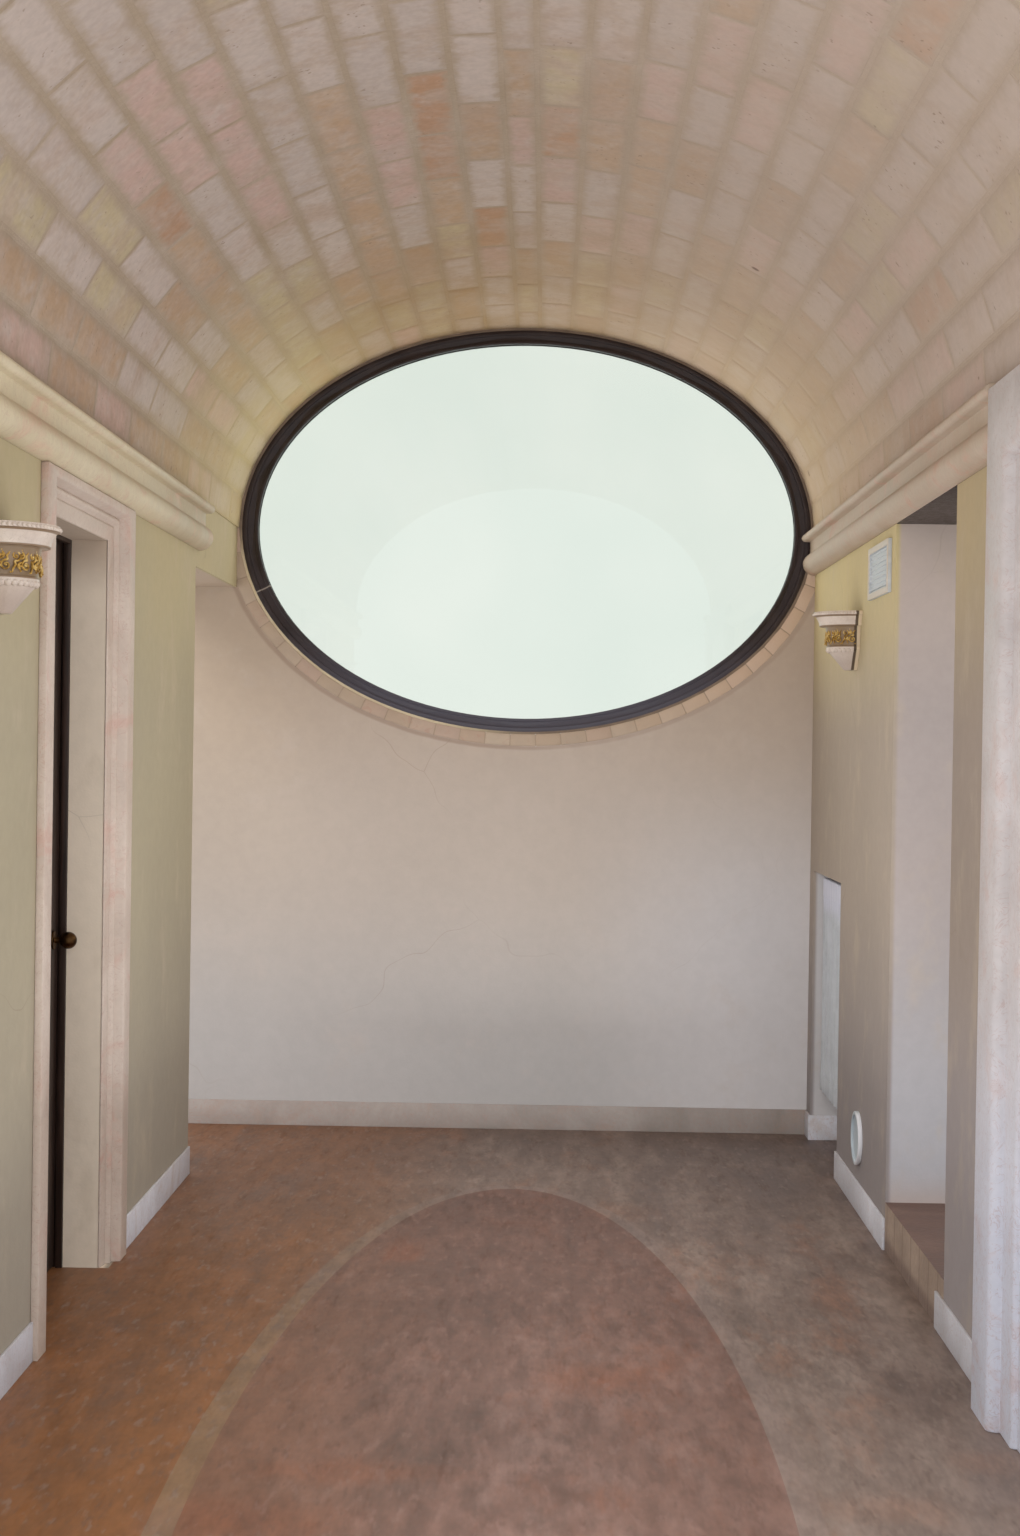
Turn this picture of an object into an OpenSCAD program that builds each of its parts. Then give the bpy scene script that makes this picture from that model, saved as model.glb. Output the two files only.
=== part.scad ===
// Vaulted hall bay with an oval window.
// The closed end of a stone hall: an end wall with a wide oval window, side walls with
// openings, and a barrel vault whose soffit carries on the upper half of the same oval.
// Sizes are in millimetres. Inside the modules the origin is on the floor finish, in the
// middle of the end wall's inner face; the hall runs away from it towards -Y.

/* [Hall] */
// Clear width between the side walls
hall_w = 2344; // [2200:2:2600]
// Clear length from the end wall to the open front
bay_l = 5200; // [5100:10:6000]
// Thickness of the side walls
wall_t = 350; // [300:10:500]
// Thickness of the end wall
end_wall_t = 350; // [250:10:500]
// Height of the vault's springing above the floor
spring_h = 2427; // [2420:1:2800]
// Rise of the vault above its springing
vault_rise = 823; // [700:1:1000]
// Projection of the vault's springing beyond the faces of the side walls
springing_step = 6; // [0:1:20]

/* [Vault] */
// Number of stone courses round the vault, an odd number
course_count = 25; // [13:2:37]
// Width of the narrower key course
key_w = 90; // [70:5:120]
// Depth of the vault stones
vault_t = 180; // [120:5:220]
// Thickness of the cover over the crown
crown_cover = 60; // [40:5:120]

/* [Floor] */
// Thickness of the floor slab
slab_t = 130; // [100:5:300]
// Thickness of the polished floor finish
screed_t = 20; // [10:1:40]
// Half of the width of the oval floor inlay
inlay_half_w = 680; // [500:10:900]
// Half of the length of the oval floor inlay
inlay_half_l = 3000; // [2000:10:3500]
// Distance of the inlay's centre from the end wall
inlay_centre = 4100; // [3600:10:4600]
// Width of the pale border round the inlay
border_w = 60; // [30:5:120]

/* [Oval window] */
// Width of the stone ring round the window
ring_w = 48; // [40:1:140]
// Number of stones in each half of the ring
ring_stones = 31; // [21:1:41]
// Width of the joints between the ring's stones
ring_joint = 4; // [2:1:8]
// Mortar bed between the stone and the window frame
bed_t = 12; // [6:1:25]
// Width of the frame's face
frame_face = 65; // [50:1:90]
// Width of bed and frame over the crown, as a share of their width at the sides
crown_share = 0.82; // [0.75:0.01:1]
// Depth of the frame
frame_d = 60; // [50:1:90]
// Setback of the frame behind the wall face
frame_setback = 5; // [0:1:40]
// Width of the frame's raised outer flange
flange_w = 22; // [10:1:30]
// Height of the flange over the frame's flat
flange_rise = 6; // [2:1:10]
// Width of the raised inner lip
lip_w = 14; // [8:1:16]
// Thickness of the glazing unit
glass_t = 24; // [6:1:28]
// Depth of the frame in front of the glass
glass_front = 24; // [15:1:30]
// Overlap of frame and bead on the glass
glass_lap = 14; // [8:1:20]

/* [Left passage] */
// Width of the passage beside the end wall
passage_w = 1000; // [800:10:1300]
// Wall between the passage and the underside of the cornice
passage_head = 60; // [20:5:200]
// Overhang of the cornice's end beyond the edge of the passage
cornice_over = 70; // [0:5:200]

/* [Left door] */
// Distance of the door opening from the end wall
door_from_end = 2373; // [2000:10:2600]
// Width of the door opening
door_w = 772; // [700:2:900]
// Wall between the door opening and the underside of the cornice
door_head = 105; // [50:5:200]
// Depth of the stone reveal in front of the door frame
door_reveal = 135; // [100:5:180]
// Width of the moulded stone trim round the door
door_trim_w = 170; // [120:5:200]
// Relief of the stone trim round the door
door_trim_d = 20; // [15:1:40]
// Depth of the trim's inner edge behind the wall face
door_splay = 26; // [10:1:40]
// Wood of the frame let into the wall beside the leaf
door_frame_w = 33; // [25:1:60]
// Projection of the stop over the leaf's edge
stop_w = 12; // [10:1:20]
// Thickness of the stop
stop_t = 20; // [12:1:30]
// Thickness of the door leaf
leaf_t = 45; // [35:1:60]
// Gap round the edges of the leaf
leaf_gap = 7; // [6:0.5:9]
// Gap between the leaf and its stop
stop_gap = 5; // [5:0.5:8]
// Radius of the hinge knuckles
knuckle_r = 8; // [6:0.5:10]
// Radius of the hinge pins
pin_r = 4; // [3:0.5:5]
// Length of a hinge
hinge_l = 100; // [80:5:150]
// Height of the lower hinge above the floor
hinge_low = 250; // [150:10:400]
// Distance of the upper hinge from the leaf's top
hinge_top = 250; // [150:10:400]
// Height of the knob above the floor
knob_h = 970; // [850:10:1100]
// Distance of the knob from the leaf's free edge
knob_in = 60; // [45:5:90]
// Radius of the knob
knob_r = 25; // [18:1:28]

/* [Right doorway] */
// Distance of the doorway from the end wall
doorway_from_end = 1970; // [1900:10:2100]
// Width of the doorway
doorway_w = 960; // [700:10:1100]
// Height of the step in the doorway
step_h = 150; // [100:5:180]
// Thickness of the wooden lintel over the doorway
lintel_t = 25; // [15:1:40]

/* [Right portal] */
// Distance of the portal's opening from the open front
portal_from_front = 490; // [400:10:600]
// Width of the portal's opening
portal_w = 800; // [700:10:900]
// Gap between the portal's trim and the vault
portal_gap = 15; // [5:5:100]
// Width of the moulded stone trim round the portal
portal_trim_w = 370; // [260:5:400]
// Relief of the stone trim round the portal
portal_trim_d = 50; // [30:1:60]

/* [Cornice and skirting] */
// Wall between the left cornice and the vault's springing
left_drop = 18; // [0:1:80]
// Wall between the right cornice and the vault's springing
right_drop = 0; // [0:1:80]
// Height of the cornices
cornice_h = 165; // [100:5:180]
// Projection of the cornices
cornice_d = 57; // [40:1:80]
// Height of the skirting
skirting_h = 100; // [60:5:120]
// Thickness of the skirting
skirting_t = 8; // [5:1:25]
// Length of the skirting that laps over the doorway's step
skirting_lap = 90; // [0:5:150]

/* [Radiator niche] */
// Distance of the niche from the end wall
niche_from_end = 120; // [80:10:300]
// Width of the niche
niche_w = 760; // [500:10:900]
// Height of the niche above the floor
niche_h = 1075; // [800:5:1200]
// Depth of the niche
niche_d = 130; // [120:5:200]
// Gap between the radiator and the niche's sides and head
radiator_gap = 25; // [20:1:60]
// Height of the radiator's underside above the floor
radiator_z = 210; // [120:5:300]
// Depth of the radiator
radiator_d = 70; // [60:1:80]
// Number of radiator columns
radiator_ribs = 11; // [7:1:15]

/* [Fittings] */
// Distance of the right lamp from the end wall
lamp_right_y = 1165; // [1100:5:1300]
// Distance of the left lamp's centre from the door's trim
lamp_from_door = 440; // [200:5:700]
// Gap between the grille and the lamps' rim below it
lamp_gap = 20; // [5:5:150]
// Half of the width of a lamp bowl
lamp_r = 134; // [110:2:150]
// Height of a lamp bowl
lamp_h = 200; // [180:5:230]
// Wall of the lamp bowls
lamp_wall = 9; // [6:1:12]
// Thickness of the lamps' back plates
lamp_plate = 16; // [8:1:25]
// Distance of the vent grille from the doorway
grille_from_doorway = 80; // [50:10:250]
// Width of the vent grille
grille_w = 400; // [200:10:460]
// Gap between the cornice and the vent grille below it
grille_gap = 35; // [5:5:100]
// Height of the vent grille
grille_h = 170; // [120:5:180]
// Projection of the grille's border
grille_t = 14; // [8:1:25]
// Distance of the round vent from the end wall
disc_y = 1400; // [1200:10:1700]
// Height of the round vent's centre above the floor
disc_z = 245; // [220:5:400]
// Radius of the round vent
disc_r = 90; // [60:5:110]

/* [Hidden] */

// Points round a smooth oval
oval_steps = 120;
// Steps that measure the arc length of a half oval
arc_steps = 720;
// Overshoot of a cutting shape
over = 1;
// Gap between a hinge knuckle and the leaf's back
knuckle_back = 1;

half_w = hall_w / 2;
outer_w = half_w + wall_t;
oval_w = half_w - springing_step;
floor_t = slab_t + screed_t;
base_z = -floor_t;
roof_rise = vault_rise + vault_t + crown_cover;
centre_y = (bay_l - end_wall_t) / 2;

door_far = -door_from_end;
door_near = door_far - door_w;
doorway_far = -doorway_from_end;
doorway_near = doorway_far - doorway_w;
portal_near = portal_from_front - bay_l;
portal_far = portal_near + portal_w;

// Heights that hang from the vault's springing
left_cornice_z = spring_h - left_drop - cornice_h;
right_cornice_z = spring_h - right_drop - cornice_h;
passage_h = left_cornice_z - passage_head;
door_h = left_cornice_z - door_head;
portal_h = spring_h - portal_gap - portal_trim_w;
grille_z = right_cornice_z - grille_gap - grille_h;
lamp_z = grille_z - lamp_gap;

grille_y = doorway_from_end - grille_from_doorway - grille_w;
lamp_left_y = door_from_end + door_w + door_trim_w + lamp_from_door;

niche_far = -niche_from_end;
niche_near = niche_far - niche_w;
niche_back = half_w + niche_d;

door_face = half_w + door_reveal;
leaf_face = door_face + stop_t + stop_gap;
leaf_back = leaf_face + leaf_t;
hinge_x = leaf_back + knuckle_r + knuckle_back;
hinge_y = door_near + leaf_gap / 2;
leaf_w = door_w - 2 * leaf_gap;
leaf_h = door_h - 2 * leaf_gap;
leaf_near = door_near + leaf_gap;

stone = [0.74, 0.66, 0.58];
plaster = [0.71, 0.65, 0.54];
pale_stone = [0.80, 0.73, 0.69];
dark_steel = [0.18, 0.14, 0.15];
dark_wood = [0.17, 0.11, 0.09];
white_enamel = [0.86, 0.85, 0.83];

// Point at angle t on an oval of half width a and half height b
function oval_pt(a, b, t) = [a * cos(t), b * sin(t)];
function oval_normal(a, b, t) = let (v = [cos(t) / a, sin(t) / b]) v / norm(v);
function normal_angle(a, b, t) = let (v = oval_normal(a, b, t)) atan2(v[1], v[0]);
function oval_out(a, b, t, d) = oval_pt(a, b, t) + d * oval_normal(a, b, t);
function oval(a, b) = [for (i = [0 : oval_steps - 1]) oval_pt(a, b, 360 * i / oval_steps)];
function half_oval(a, b) = [for (i = [0 : oval_steps / 2]) oval_pt(a, b, 360 * i / oval_steps)];

// Arc lengths along the upper half of the wall opening's oval, paired with their angles
function arc_step(a, b, i) =
    norm(oval_pt(a, b, 180 * (i + 1) / arc_steps) - oval_pt(a, b, 180 * i / arc_steps));
function arc_table(a, b) =
    [for (i = 0, s = 0; i <= arc_steps; s = s + arc_step(a, b, i), i = i + 1)
        [s, 180 * i / arc_steps]];
soffit_arc = arc_table(oval_w, vault_rise);
soffit_l = soffit_arc[arc_steps][0];
function angle_at(s) = lookup(s, soffit_arc);

// Joints between the vault courses, counted from the right springing
side_courses = (course_count - 1) / 2;
course_w = (soffit_l - key_w) / (course_count - 1);
function joint_s(i) = i * course_w + (i > side_courses ? key_w - course_w : 0);
course_angles = [for (i = [0 : course_count]) angle_at(joint_s(i))];

// Joints between the stones of the window's ring, for one half
ring_angles = [for (i = [0 : ring_stones]) angle_at(i * soffit_l / ring_stones)];
all_ring_angles = concat(ring_angles, [for (i = [1 : ring_stones - 1]) ring_angles[i] + 180]);

// Section of a band of stones between two joints, with straight soffits
function stone_band(angles, i0, i1, d) = concat(
    [for (i = [i0 : i1]) oval_pt(oval_w, vault_rise, angles[i])],
    [for (i = [i1 : -1 : i0]) oval_out(oval_w, vault_rise, angles[i], d)]);

// Points of an arc with separate radii across and up
function arc(x, y, rx, ry, t0, t1, n) =
    [for (i = [0 : n]) [x + rx * cos(t0 + (t1 - t0) * i / n), y + ry * sin(t0 + (t1 - t0) * i / n)]];

// Hall coordinates to the whole part's frame
module place() translate([0, centre_y, floor_t]) children();

// A drawing on X and Z, taken through the hall from y0 to y1
module along_hall(y0, y1)
    translate([0, y1, 0]) rotate([90, 0, 0]) linear_extrude(y1 - y0) children();

module block(x0, x1, y0, y1, z0, z1)
    translate([x0, y0, z0]) cube([x1 - x0, y1 - y0, z1 - z0]);

// What is drawn for the right wall, on the left wall
module on_left() mirror([1, 0, 0]) children();

// Local X along the right wall's face, local +Y into the hall
module on_right_face(y0) translate([half_w, y0, 0]) rotate([0, 0, 90]) children();

// A length of side wall between two heights
module wall_block(y0, y1, z0, z1) block(half_w, outer_w, y0, y1, z0, z1);

module springing_line() translate([0, spring_h]) children();

// Floor plan of the hall with its tongues into the openings
module floor_plan() {
    translate([-half_w, -bay_l]) square([hall_w, bay_l]);
    translate([-outer_w, -passage_w]) square([wall_t, passage_w]);
    translate([-outer_w, door_near]) square([wall_t, door_w]);
    translate([half_w, portal_near]) square([wall_t, portal_w]);
}

module floor_slab() color([0.55, 0.50, 0.45]) place() translate([0, 0, base_z])
    linear_extrude(slab_t) {
        floor_plan();
        translate([half_w, doorway_near]) square([wall_t, doorway_w]);
    }

module inlay_oval(inset) translate([0, -inlay_centre])
    polygon(oval(inlay_half_w - inset, inlay_half_l - inset));

module floor_finish() translate([0, 0, -screed_t]) linear_extrude(screed_t) children();

// The inlay stops at the open front with the rest of the bay
module bay_plan() translate([-half_w, -bay_l]) square([hall_w, bay_l]);

module floor_screed() color([0.50, 0.40, 0.32]) place() floor_finish() difference() {
    union() {
        floor_plan();
        translate([half_w, niche_near]) square([niche_d, niche_w]);
    }
    inlay_oval(0);
}

module floor_border() color([0.60, 0.50, 0.42]) place() floor_finish() intersection() {
    difference() {
        inlay_oval(0);
        inlay_oval(border_w);
    }
    bay_plan();
}

module floor_inlay() color([0.53, 0.38, 0.34]) place() floor_finish() intersection() {
    inlay_oval(border_w);
    bay_plan();
}

module ring_outline(d) springing_line()
    polygon([for (t = all_ring_angles) oval_out(oval_w, vault_rise, t, d)]);

module end_wall() color(plaster) place() along_hall(0, end_wall_t) difference() {
    translate([-outer_w, base_z]) square([2 * outer_w, spring_h - base_z]);
    ring_outline(ring_w);
}

module gable() color(plaster) place() along_hall(0, end_wall_t) difference() {
    springing_line() polygon(half_oval(outer_w, roof_rise));
    ring_outline(ring_w);
}

// A block round three sides of the door opening, from depth x0 to depth x1
module door_surround(x0, x1, w)
    block(x0, x1, door_near - w, door_far + w, 0, door_h + w);

// The cuts that take the door frame at the back and the stone trim in front
module door_rebates() {
    door_surround(door_face, outer_w + over, door_frame_w);
    door_surround(half_w - over, half_w + trim_bed_d, trim_bed_w);
}

module left_wall_front() color(plaster) place() on_left() difference() {
    wall_block(-bay_l, door_near, base_z, spring_h);
    door_rebates();
}

module left_wall_over_door() color(plaster) place() on_left() difference() {
    wall_block(door_near, door_far, door_h, spring_h);
    door_rebates();
}

module left_wall_pier() color(plaster) place() on_left() difference() {
    wall_block(door_far, -passage_w, base_z, spring_h);
    door_rebates();
}

module left_wall_over_passage() color(plaster) place() on_left()
    wall_block(-passage_w, 0, passage_h, spring_h);

module right_wall_end() color(plaster) place() difference() {
    wall_block(doorway_far, 0, base_z, spring_h);
    block(half_w - over, niche_back, niche_near, niche_far, -screed_t, niche_h);
}

module right_wall_over_doorway() color(plaster) place()
    wall_block(doorway_near, doorway_far, right_cornice_z + lintel_t, spring_h);

module right_wall_pier() color(plaster) place()
    wall_block(portal_far, doorway_near, base_z, spring_h);

module right_wall_over_portal() color(plaster) place()
    wall_block(portal_near, portal_far, portal_h, spring_h);

module right_wall_front() color(plaster) place()
    wall_block(-bay_l, portal_near, base_z, spring_h);

// Vault courses from joint i0 to joint i1, the joints square to the soffit
module vault_courses(i0, i1) color(stone) place() along_hall(-bay_l, 0) springing_line()
    polygon(stone_band(course_angles, i0, i1, vault_t));

third = floor(side_courses / 3);
module vault_key() vault_courses(side_courses, side_courses + 1);
module vault_right_springers() vault_courses(0, third);
module vault_right_haunch() vault_courses(third, 2 * third);
module vault_right_crown() vault_courses(2 * third, side_courses);
module vault_left_crown() vault_courses(side_courses + 1, course_count - 2 * third);
module vault_left_haunch() vault_courses(course_count - 2 * third, course_count - third);
module vault_left_springers() vault_courses(course_count - third, course_count);

module vault_cover() color([0.78, 0.74, 0.66]) place() along_hall(-bay_l, 0)
    springing_line() difference() {
        polygon(half_oval(outer_w, roof_rise));
        polygon([for (t = course_angles) oval_out(oval_w, vault_rise, t, vault_t)]);
    }

// The stones of one half of the ring, parted by joints that stand square to the oval
module ring_half() difference() {
    polygon(stone_band(ring_angles, 0, ring_stones, ring_w));
    for (t = ring_angles)
        translate(oval_pt(oval_w, vault_rise, t)) rotate(normal_angle(oval_w, vault_rise, t))
            translate([-over, -ring_joint / 2]) square([ring_w + 2 * over, ring_joint]);
}

module oval_ring_lower() color([0.74, 0.60, 0.53]) place() along_hall(0, end_wall_t)
    springing_line() rotate(180) ring_half();

module oval_ring_upper() color([0.74, 0.60, 0.53]) place() along_hall(0, end_wall_t)
    springing_line() ring_half();

// An oval smaller than the wall opening's by the given inset at the sides
module inner_oval(inset) springing_line()
    polygon(oval(oval_w - inset, vault_rise - crown_share * inset));

// An oval ring from inset i0 to inset i1, between two depths behind the frame's face
module oval_band(i0, i1, d0, d1) along_hall(frame_setback + d0, frame_setback + d1)
    difference() {
        inner_oval(i0);
        inner_oval(i1);
    }

frame_in = bed_t + frame_face;

module mortar_bed() color([0.68, 0.60, 0.48]) place()
    along_hall(frame_setback, frame_setback + frame_d) difference() {
        ring_outline(0);
        inner_oval(bed_t);
    }

module window_frame() color(dark_steel) place() {
    oval_band(bed_t, bed_t + flange_w, 0, frame_d);
    oval_band(bed_t, frame_in - glass_lap, flange_rise, frame_d);
    oval_band(bed_t, frame_in, flange_rise, glass_front);
    oval_band(frame_in - lip_w, frame_in, 0, glass_front);
}

module window_glass() color([0.75, 0.85, 0.82, 0.4]) place()
    along_hall(frame_setback + glass_front, frame_setback + glass_front + glass_t)
        inner_oval(frame_in - glass_lap);

module glazing_bead() color(dark_steel) place()
    oval_band(frame_in - glass_lap, frame_in, glass_front + glass_t, frame_d);

// Cornice section: projection across, height up; a round, a recess and a round-nosed lip
round_h = 0.56;
round_d = 0.90;
recess_d = 0.40;
lip_h = 0.18;
nose_r = lip_h * cornice_h / 2;
round_end = acos(recess_d / round_d);
cornice_section = concat(
    arc(0, round_h * cornice_h / 2, round_d * cornice_d, round_h * cornice_h / 2, -90, round_end, 12),
    [[recess_d * cornice_d, (1 - lip_h) * cornice_h]],
    arc(cornice_d - nose_r, cornice_h - nose_r, nose_r, nose_r, -90, 90, 8),
    [[0, cornice_h]]);

module cornice_run(y0, y1, z) along_hall(y0, y1) translate([half_w, z])
    polygon([for (p = cornice_section) [-p[0], p[1]]]);

module cornice_left() color(pale_stone) place() on_left()
    cornice_run(-bay_l, -passage_w + cornice_over, left_cornice_z);

module cornice_right() color(pale_stone) place() {
    cornice_run(portal_far + portal_trim_w, 0, right_cornice_z);
    cornice_run(-bay_l, portal_near - portal_trim_w, right_cornice_z);
}

// Skirting on the right wall's face between two places
module skirting_run(y0, y1) block(half_w - skirting_t, half_w, y0, y1, 0, skirting_h);

module skirting_left() color(pale_stone) place() on_left() {
    skirting_run(-bay_l, door_near - door_trim_w);
    skirting_run(door_far + door_trim_w, -passage_w);
}

// Skirting across the hall, square to the right wall's face, into the niche
module niche_return(y) block(half_w - skirting_t, niche_back, y, y + skirting_t, 0, skirting_h);

module skirting_right() color(pale_stone) place() {
    skirting_run(doorway_far, niche_near + skirting_t);
    niche_return(niche_near);
    block(niche_back - skirting_t, niche_back, niche_near, niche_far, 0, skirting_h);
    niche_return(niche_far - skirting_t);
    skirting_run(niche_far - skirting_t, -skirting_t);
    skirting_run(portal_far + portal_trim_w, doorway_near + skirting_lap);
    skirting_run(-bay_l, portal_near - portal_trim_w);
}

module skirting_end() color(pale_stone) place()
    block(-outer_w, half_w, -skirting_t, 0, 0, skirting_h);

// Mitred stone trim round three sides of an opening.
// Each point of the section gives its distance from the opening and its relief.
module moulded_trim(w, h, section, trim_w, trim_d, bed_d = 0) {
    leg_wedge = [[-trim_w - over, -over], [over, -over], [over, h - over],
        [-trim_w - over, h + trim_w + over]];
    head_wedge = [[over, h - over], [w - over, h - over],
        [w + trim_w + over, h + trim_w + over], [-trim_w - over, h + trim_w + over]];
    module leg() intersection() {
        linear_extrude(h + trim_w) polygon([for (p = section) [-p[0], p[1]]]);
        trim_wedge(leg_wedge, trim_d, bed_d);
    }
    leg();
    translate([w, 0, 0]) mirror([1, 0, 0]) leg();
    intersection() {
        translate([-trim_w, 0, 0]) rotate([90, 0, 90]) linear_extrude(w + 2 * trim_w)
            polygon([for (p = section) [p[1], h + p[0]]]);
        trim_wedge(head_wedge, trim_d, bed_d);
    }
}

module trim_wedge(outline, trim_d, bed_d) translate([0, trim_d + over, 0]) rotate([90, 0, 0])
    linear_extrude(trim_d + bed_d + 2 * over) polygon(outline);

// Door trim: an inner fascia behind the wall face, a bead between two quirks, and a wide
// outer band that stands proud of the wall. Its inner half is let into the wall.
trim_bed_w = 0.48 * door_trim_w;
trim_bed_d = door_splay + 6;
door_section = [[0, -trim_bed_d], [0, -door_splay], [0.24 * door_trim_w, -0.70 * door_splay],
    [0.27 * door_trim_w, -0.95 * door_splay], [0.30 * door_trim_w, -0.45 * door_splay],
    [0.34 * door_trim_w, -0.20 * door_splay], [0.38 * door_trim_w, -0.25 * door_splay],
    [0.42 * door_trim_w, -0.60 * door_splay], [0.46 * door_trim_w, 0.75 * door_trim_d],
    [0.48 * door_trim_w, door_trim_d], [door_trim_w, door_trim_d], [door_trim_w, 0],
    [trim_bed_w, 0], [trim_bed_w, -trim_bed_d]];

module door_trim() color(pale_stone) place() difference() {
    on_left() on_right_face(door_near)
        moulded_trim(door_w, door_h, door_section, door_trim_w, door_trim_d, trim_bed_d);
    block(-half_w - over, -half_w + door_trim_d + over, -bay_l, 0, left_cornice_z, spring_h);
}

// Portal trim: three bands that step out from the opening, the outer one widest
portal_section = concat([[0, 0], [0, 0.12 * portal_trim_d],
        [0.21 * portal_trim_w, 0.12 * portal_trim_d]],
    arc(0.21 * portal_trim_w + 0.28 * portal_trim_d, 0.12 * portal_trim_d,
        0.28 * portal_trim_d, 0.28 * portal_trim_d, 180, 90, 4),
    [[0.50 * portal_trim_w, 0.40 * portal_trim_d]],
    arc(0.50 * portal_trim_w + 0.60 * portal_trim_d, 0.40 * portal_trim_d,
        0.50 * portal_trim_d, 0.60 * portal_trim_d, 180, 90, 6),
    [[portal_trim_w, portal_trim_d], [portal_trim_w, 0]]);

module portal_trim() color(pale_stone) place() on_right_face(portal_near)
    moulded_trim(portal_w, portal_h, portal_section, portal_trim_w, portal_trim_d);

// Three sides of a door frame, with the opening made smaller by the stop
module frame_sides(x0, x1, stop) difference() {
    block(x0, x1, door_near - door_frame_w, door_far + door_frame_w, 0, door_h + door_frame_w);
    block(x0 - over, x1 + over, door_near + stop, door_far - stop, -over, door_h - stop);
}

module door_frame() color(dark_wood) place() on_left() {
    frame_sides(door_face, door_face + stop_t, stop_w);
    frame_sides(door_face + stop_t, leaf_back, 0);
}

// Leaf of stiles and rails with two sunk panels on each face
stile_w = 110;
sunk = 9;
mid_rail = 1000;
module leaf_panel(z0, z1) for (x = [leaf_face - over, leaf_back - sunk])
    block(x, x + sunk + over, leaf_near + stile_w, leaf_near + leaf_w - stile_w, z0, z1);

spindle_r = 6;
spindle_gap = 0.3;
knob_y = leaf_near + leaf_w - knob_in;

module knob_place() translate([leaf_face, knob_y, knob_h]) rotate([0, 90, 0]) children();

module door_leaf() color(dark_wood) place() on_left() difference() {
    block(leaf_face, leaf_back, leaf_near, leaf_near + leaf_w, leaf_gap, leaf_gap + leaf_h);
    leaf_panel(leaf_gap + 2 * stile_w, mid_rail - stile_w / 2);
    leaf_panel(mid_rail + stile_w / 2, leaf_gap + leaf_h - stile_w);
    knob_place() translate([0, 0, -over])
        cylinder(r = spindle_r + spindle_gap, h = leaf_t + 2 * over, $fn = 32);
}

// Half of the knob set from the leaf's face outwards: rose, neck and ball
rose_r = 27;
rose_t = 6;
neck_r = 9;
knob_out = 45;
knob_join = acos(neck_r / knob_r);
knob_section = concat([[0, -leaf_t / 2], [spindle_r, -leaf_t / 2], [spindle_r, 0],
    [rose_r, 0], [rose_r, rose_t], [neck_r, rose_t]],
    arc(0, knob_out, knob_r, knob_r, -knob_join, 90, 12));

module knob_half() rotate_extrude($fn = 48) polygon(knob_section);

module door_knob() color([0.20, 0.15, 0.11]) place() on_left() knob_place() {
    mirror([0, 0, 1]) knob_half();
    translate([0, 0, leaf_t]) knob_half();
}

// Knuckles of one hinge: the outer thirds stay on the jamb, the middle third on the leaf
knuckle_gap = 0.5;
pin_gap = 0.3;
plate_t = 3;
plate_w = 24;
web_t = 2;
knuckle_l = hinge_l / 3;
hinge_heights = [hinge_low, leaf_gap + leaf_h - hinge_top - hinge_l];

module knuckle(z0, z1, r) translate([hinge_x, hinge_y, z0]) cylinder(r = r, h = z1 - z0, $fn = 32);

module jamb_hinge() {
    knuckle(0, knuckle_l, knuckle_r);
    knuckle(2 * knuckle_l, hinge_l, knuckle_r);
    knuckle(-plate_t, hinge_l + plate_t, pin_r);
    for (z = [0, 2 * knuckle_l]) {
        block(leaf_back, leaf_back + plate_t, hinge_y - plate_w, hinge_y - leaf_gap / 2,
            z, z + knuckle_l);
        block(leaf_back + plate_t - web_t, leaf_back + plate_t, hinge_y - leaf_gap, hinge_y,
            z, z + knuckle_l);
    }
}

module jamb_hinges() color([0.20, 0.15, 0.11]) place() on_left()
    for (z = hinge_heights) translate([0, 0, z]) jamb_hinge();

module leaf_hinge() difference() {
    union() {
        knuckle(knuckle_l + knuckle_gap, 2 * knuckle_l - knuckle_gap, knuckle_r);
        block(leaf_back, leaf_back + plate_t, hinge_y + leaf_gap / 2, hinge_y + plate_w,
            knuckle_l + knuckle_gap, 2 * knuckle_l - knuckle_gap);
        block(leaf_back + plate_t - web_t, leaf_back + plate_t, hinge_y, hinge_y + leaf_gap,
            knuckle_l + knuckle_gap, 2 * knuckle_l - knuckle_gap);
    }
    knuckle(0, hinge_l, pin_r + pin_gap);
}

module leaf_hinges() color([0.20, 0.15, 0.11]) place() on_left()
    for (z = hinge_heights) translate([0, 0, z]) leaf_hinge();

module doorway_step() color([0.58, 0.44, 0.34]) place()
    block(half_w, outer_w, doorway_near, doorway_far, -screed_t, step_h);

module doorway_lintel() color(dark_wood) place()
    wall_block(doorway_near, doorway_far, right_cornice_z, right_cornice_z + lintel_t);

// Column radiator on brackets in the niche: two tubes a section, between rounded hubs
radiator_w = niche_w - 2 * radiator_gap;
radiator_h = niche_h - radiator_gap - radiator_z;
rib_pitch = radiator_w / radiator_ribs;
rib_gap = 16;
rib_w = rib_pitch - rib_gap;
tube_r = 13;
tube_in = 15;
hub_h = 70;
pipe_r = 15;
bracket_l = 30;
bracket_w = 10;
radiator_x = niche_back - bracket_l - radiator_d;

module hub_plan() {
    for (x = [rib_w / 2, radiator_d - rib_w / 2]) translate([x, 0]) circle(rib_w / 2, $fn = 32);
    translate([rib_w / 2, -rib_w / 2]) square([radiator_d - rib_w, rib_w]);
}

module radiator_section() {
    for (z = [0, radiator_h - hub_h]) translate([0, 0, z]) linear_extrude(hub_h) hub_plan();
    for (x = [tube_in, radiator_d - tube_in])
        translate([x, 0, 0]) cylinder(r = tube_r, h = radiator_h, $fn = 24);
}

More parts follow.
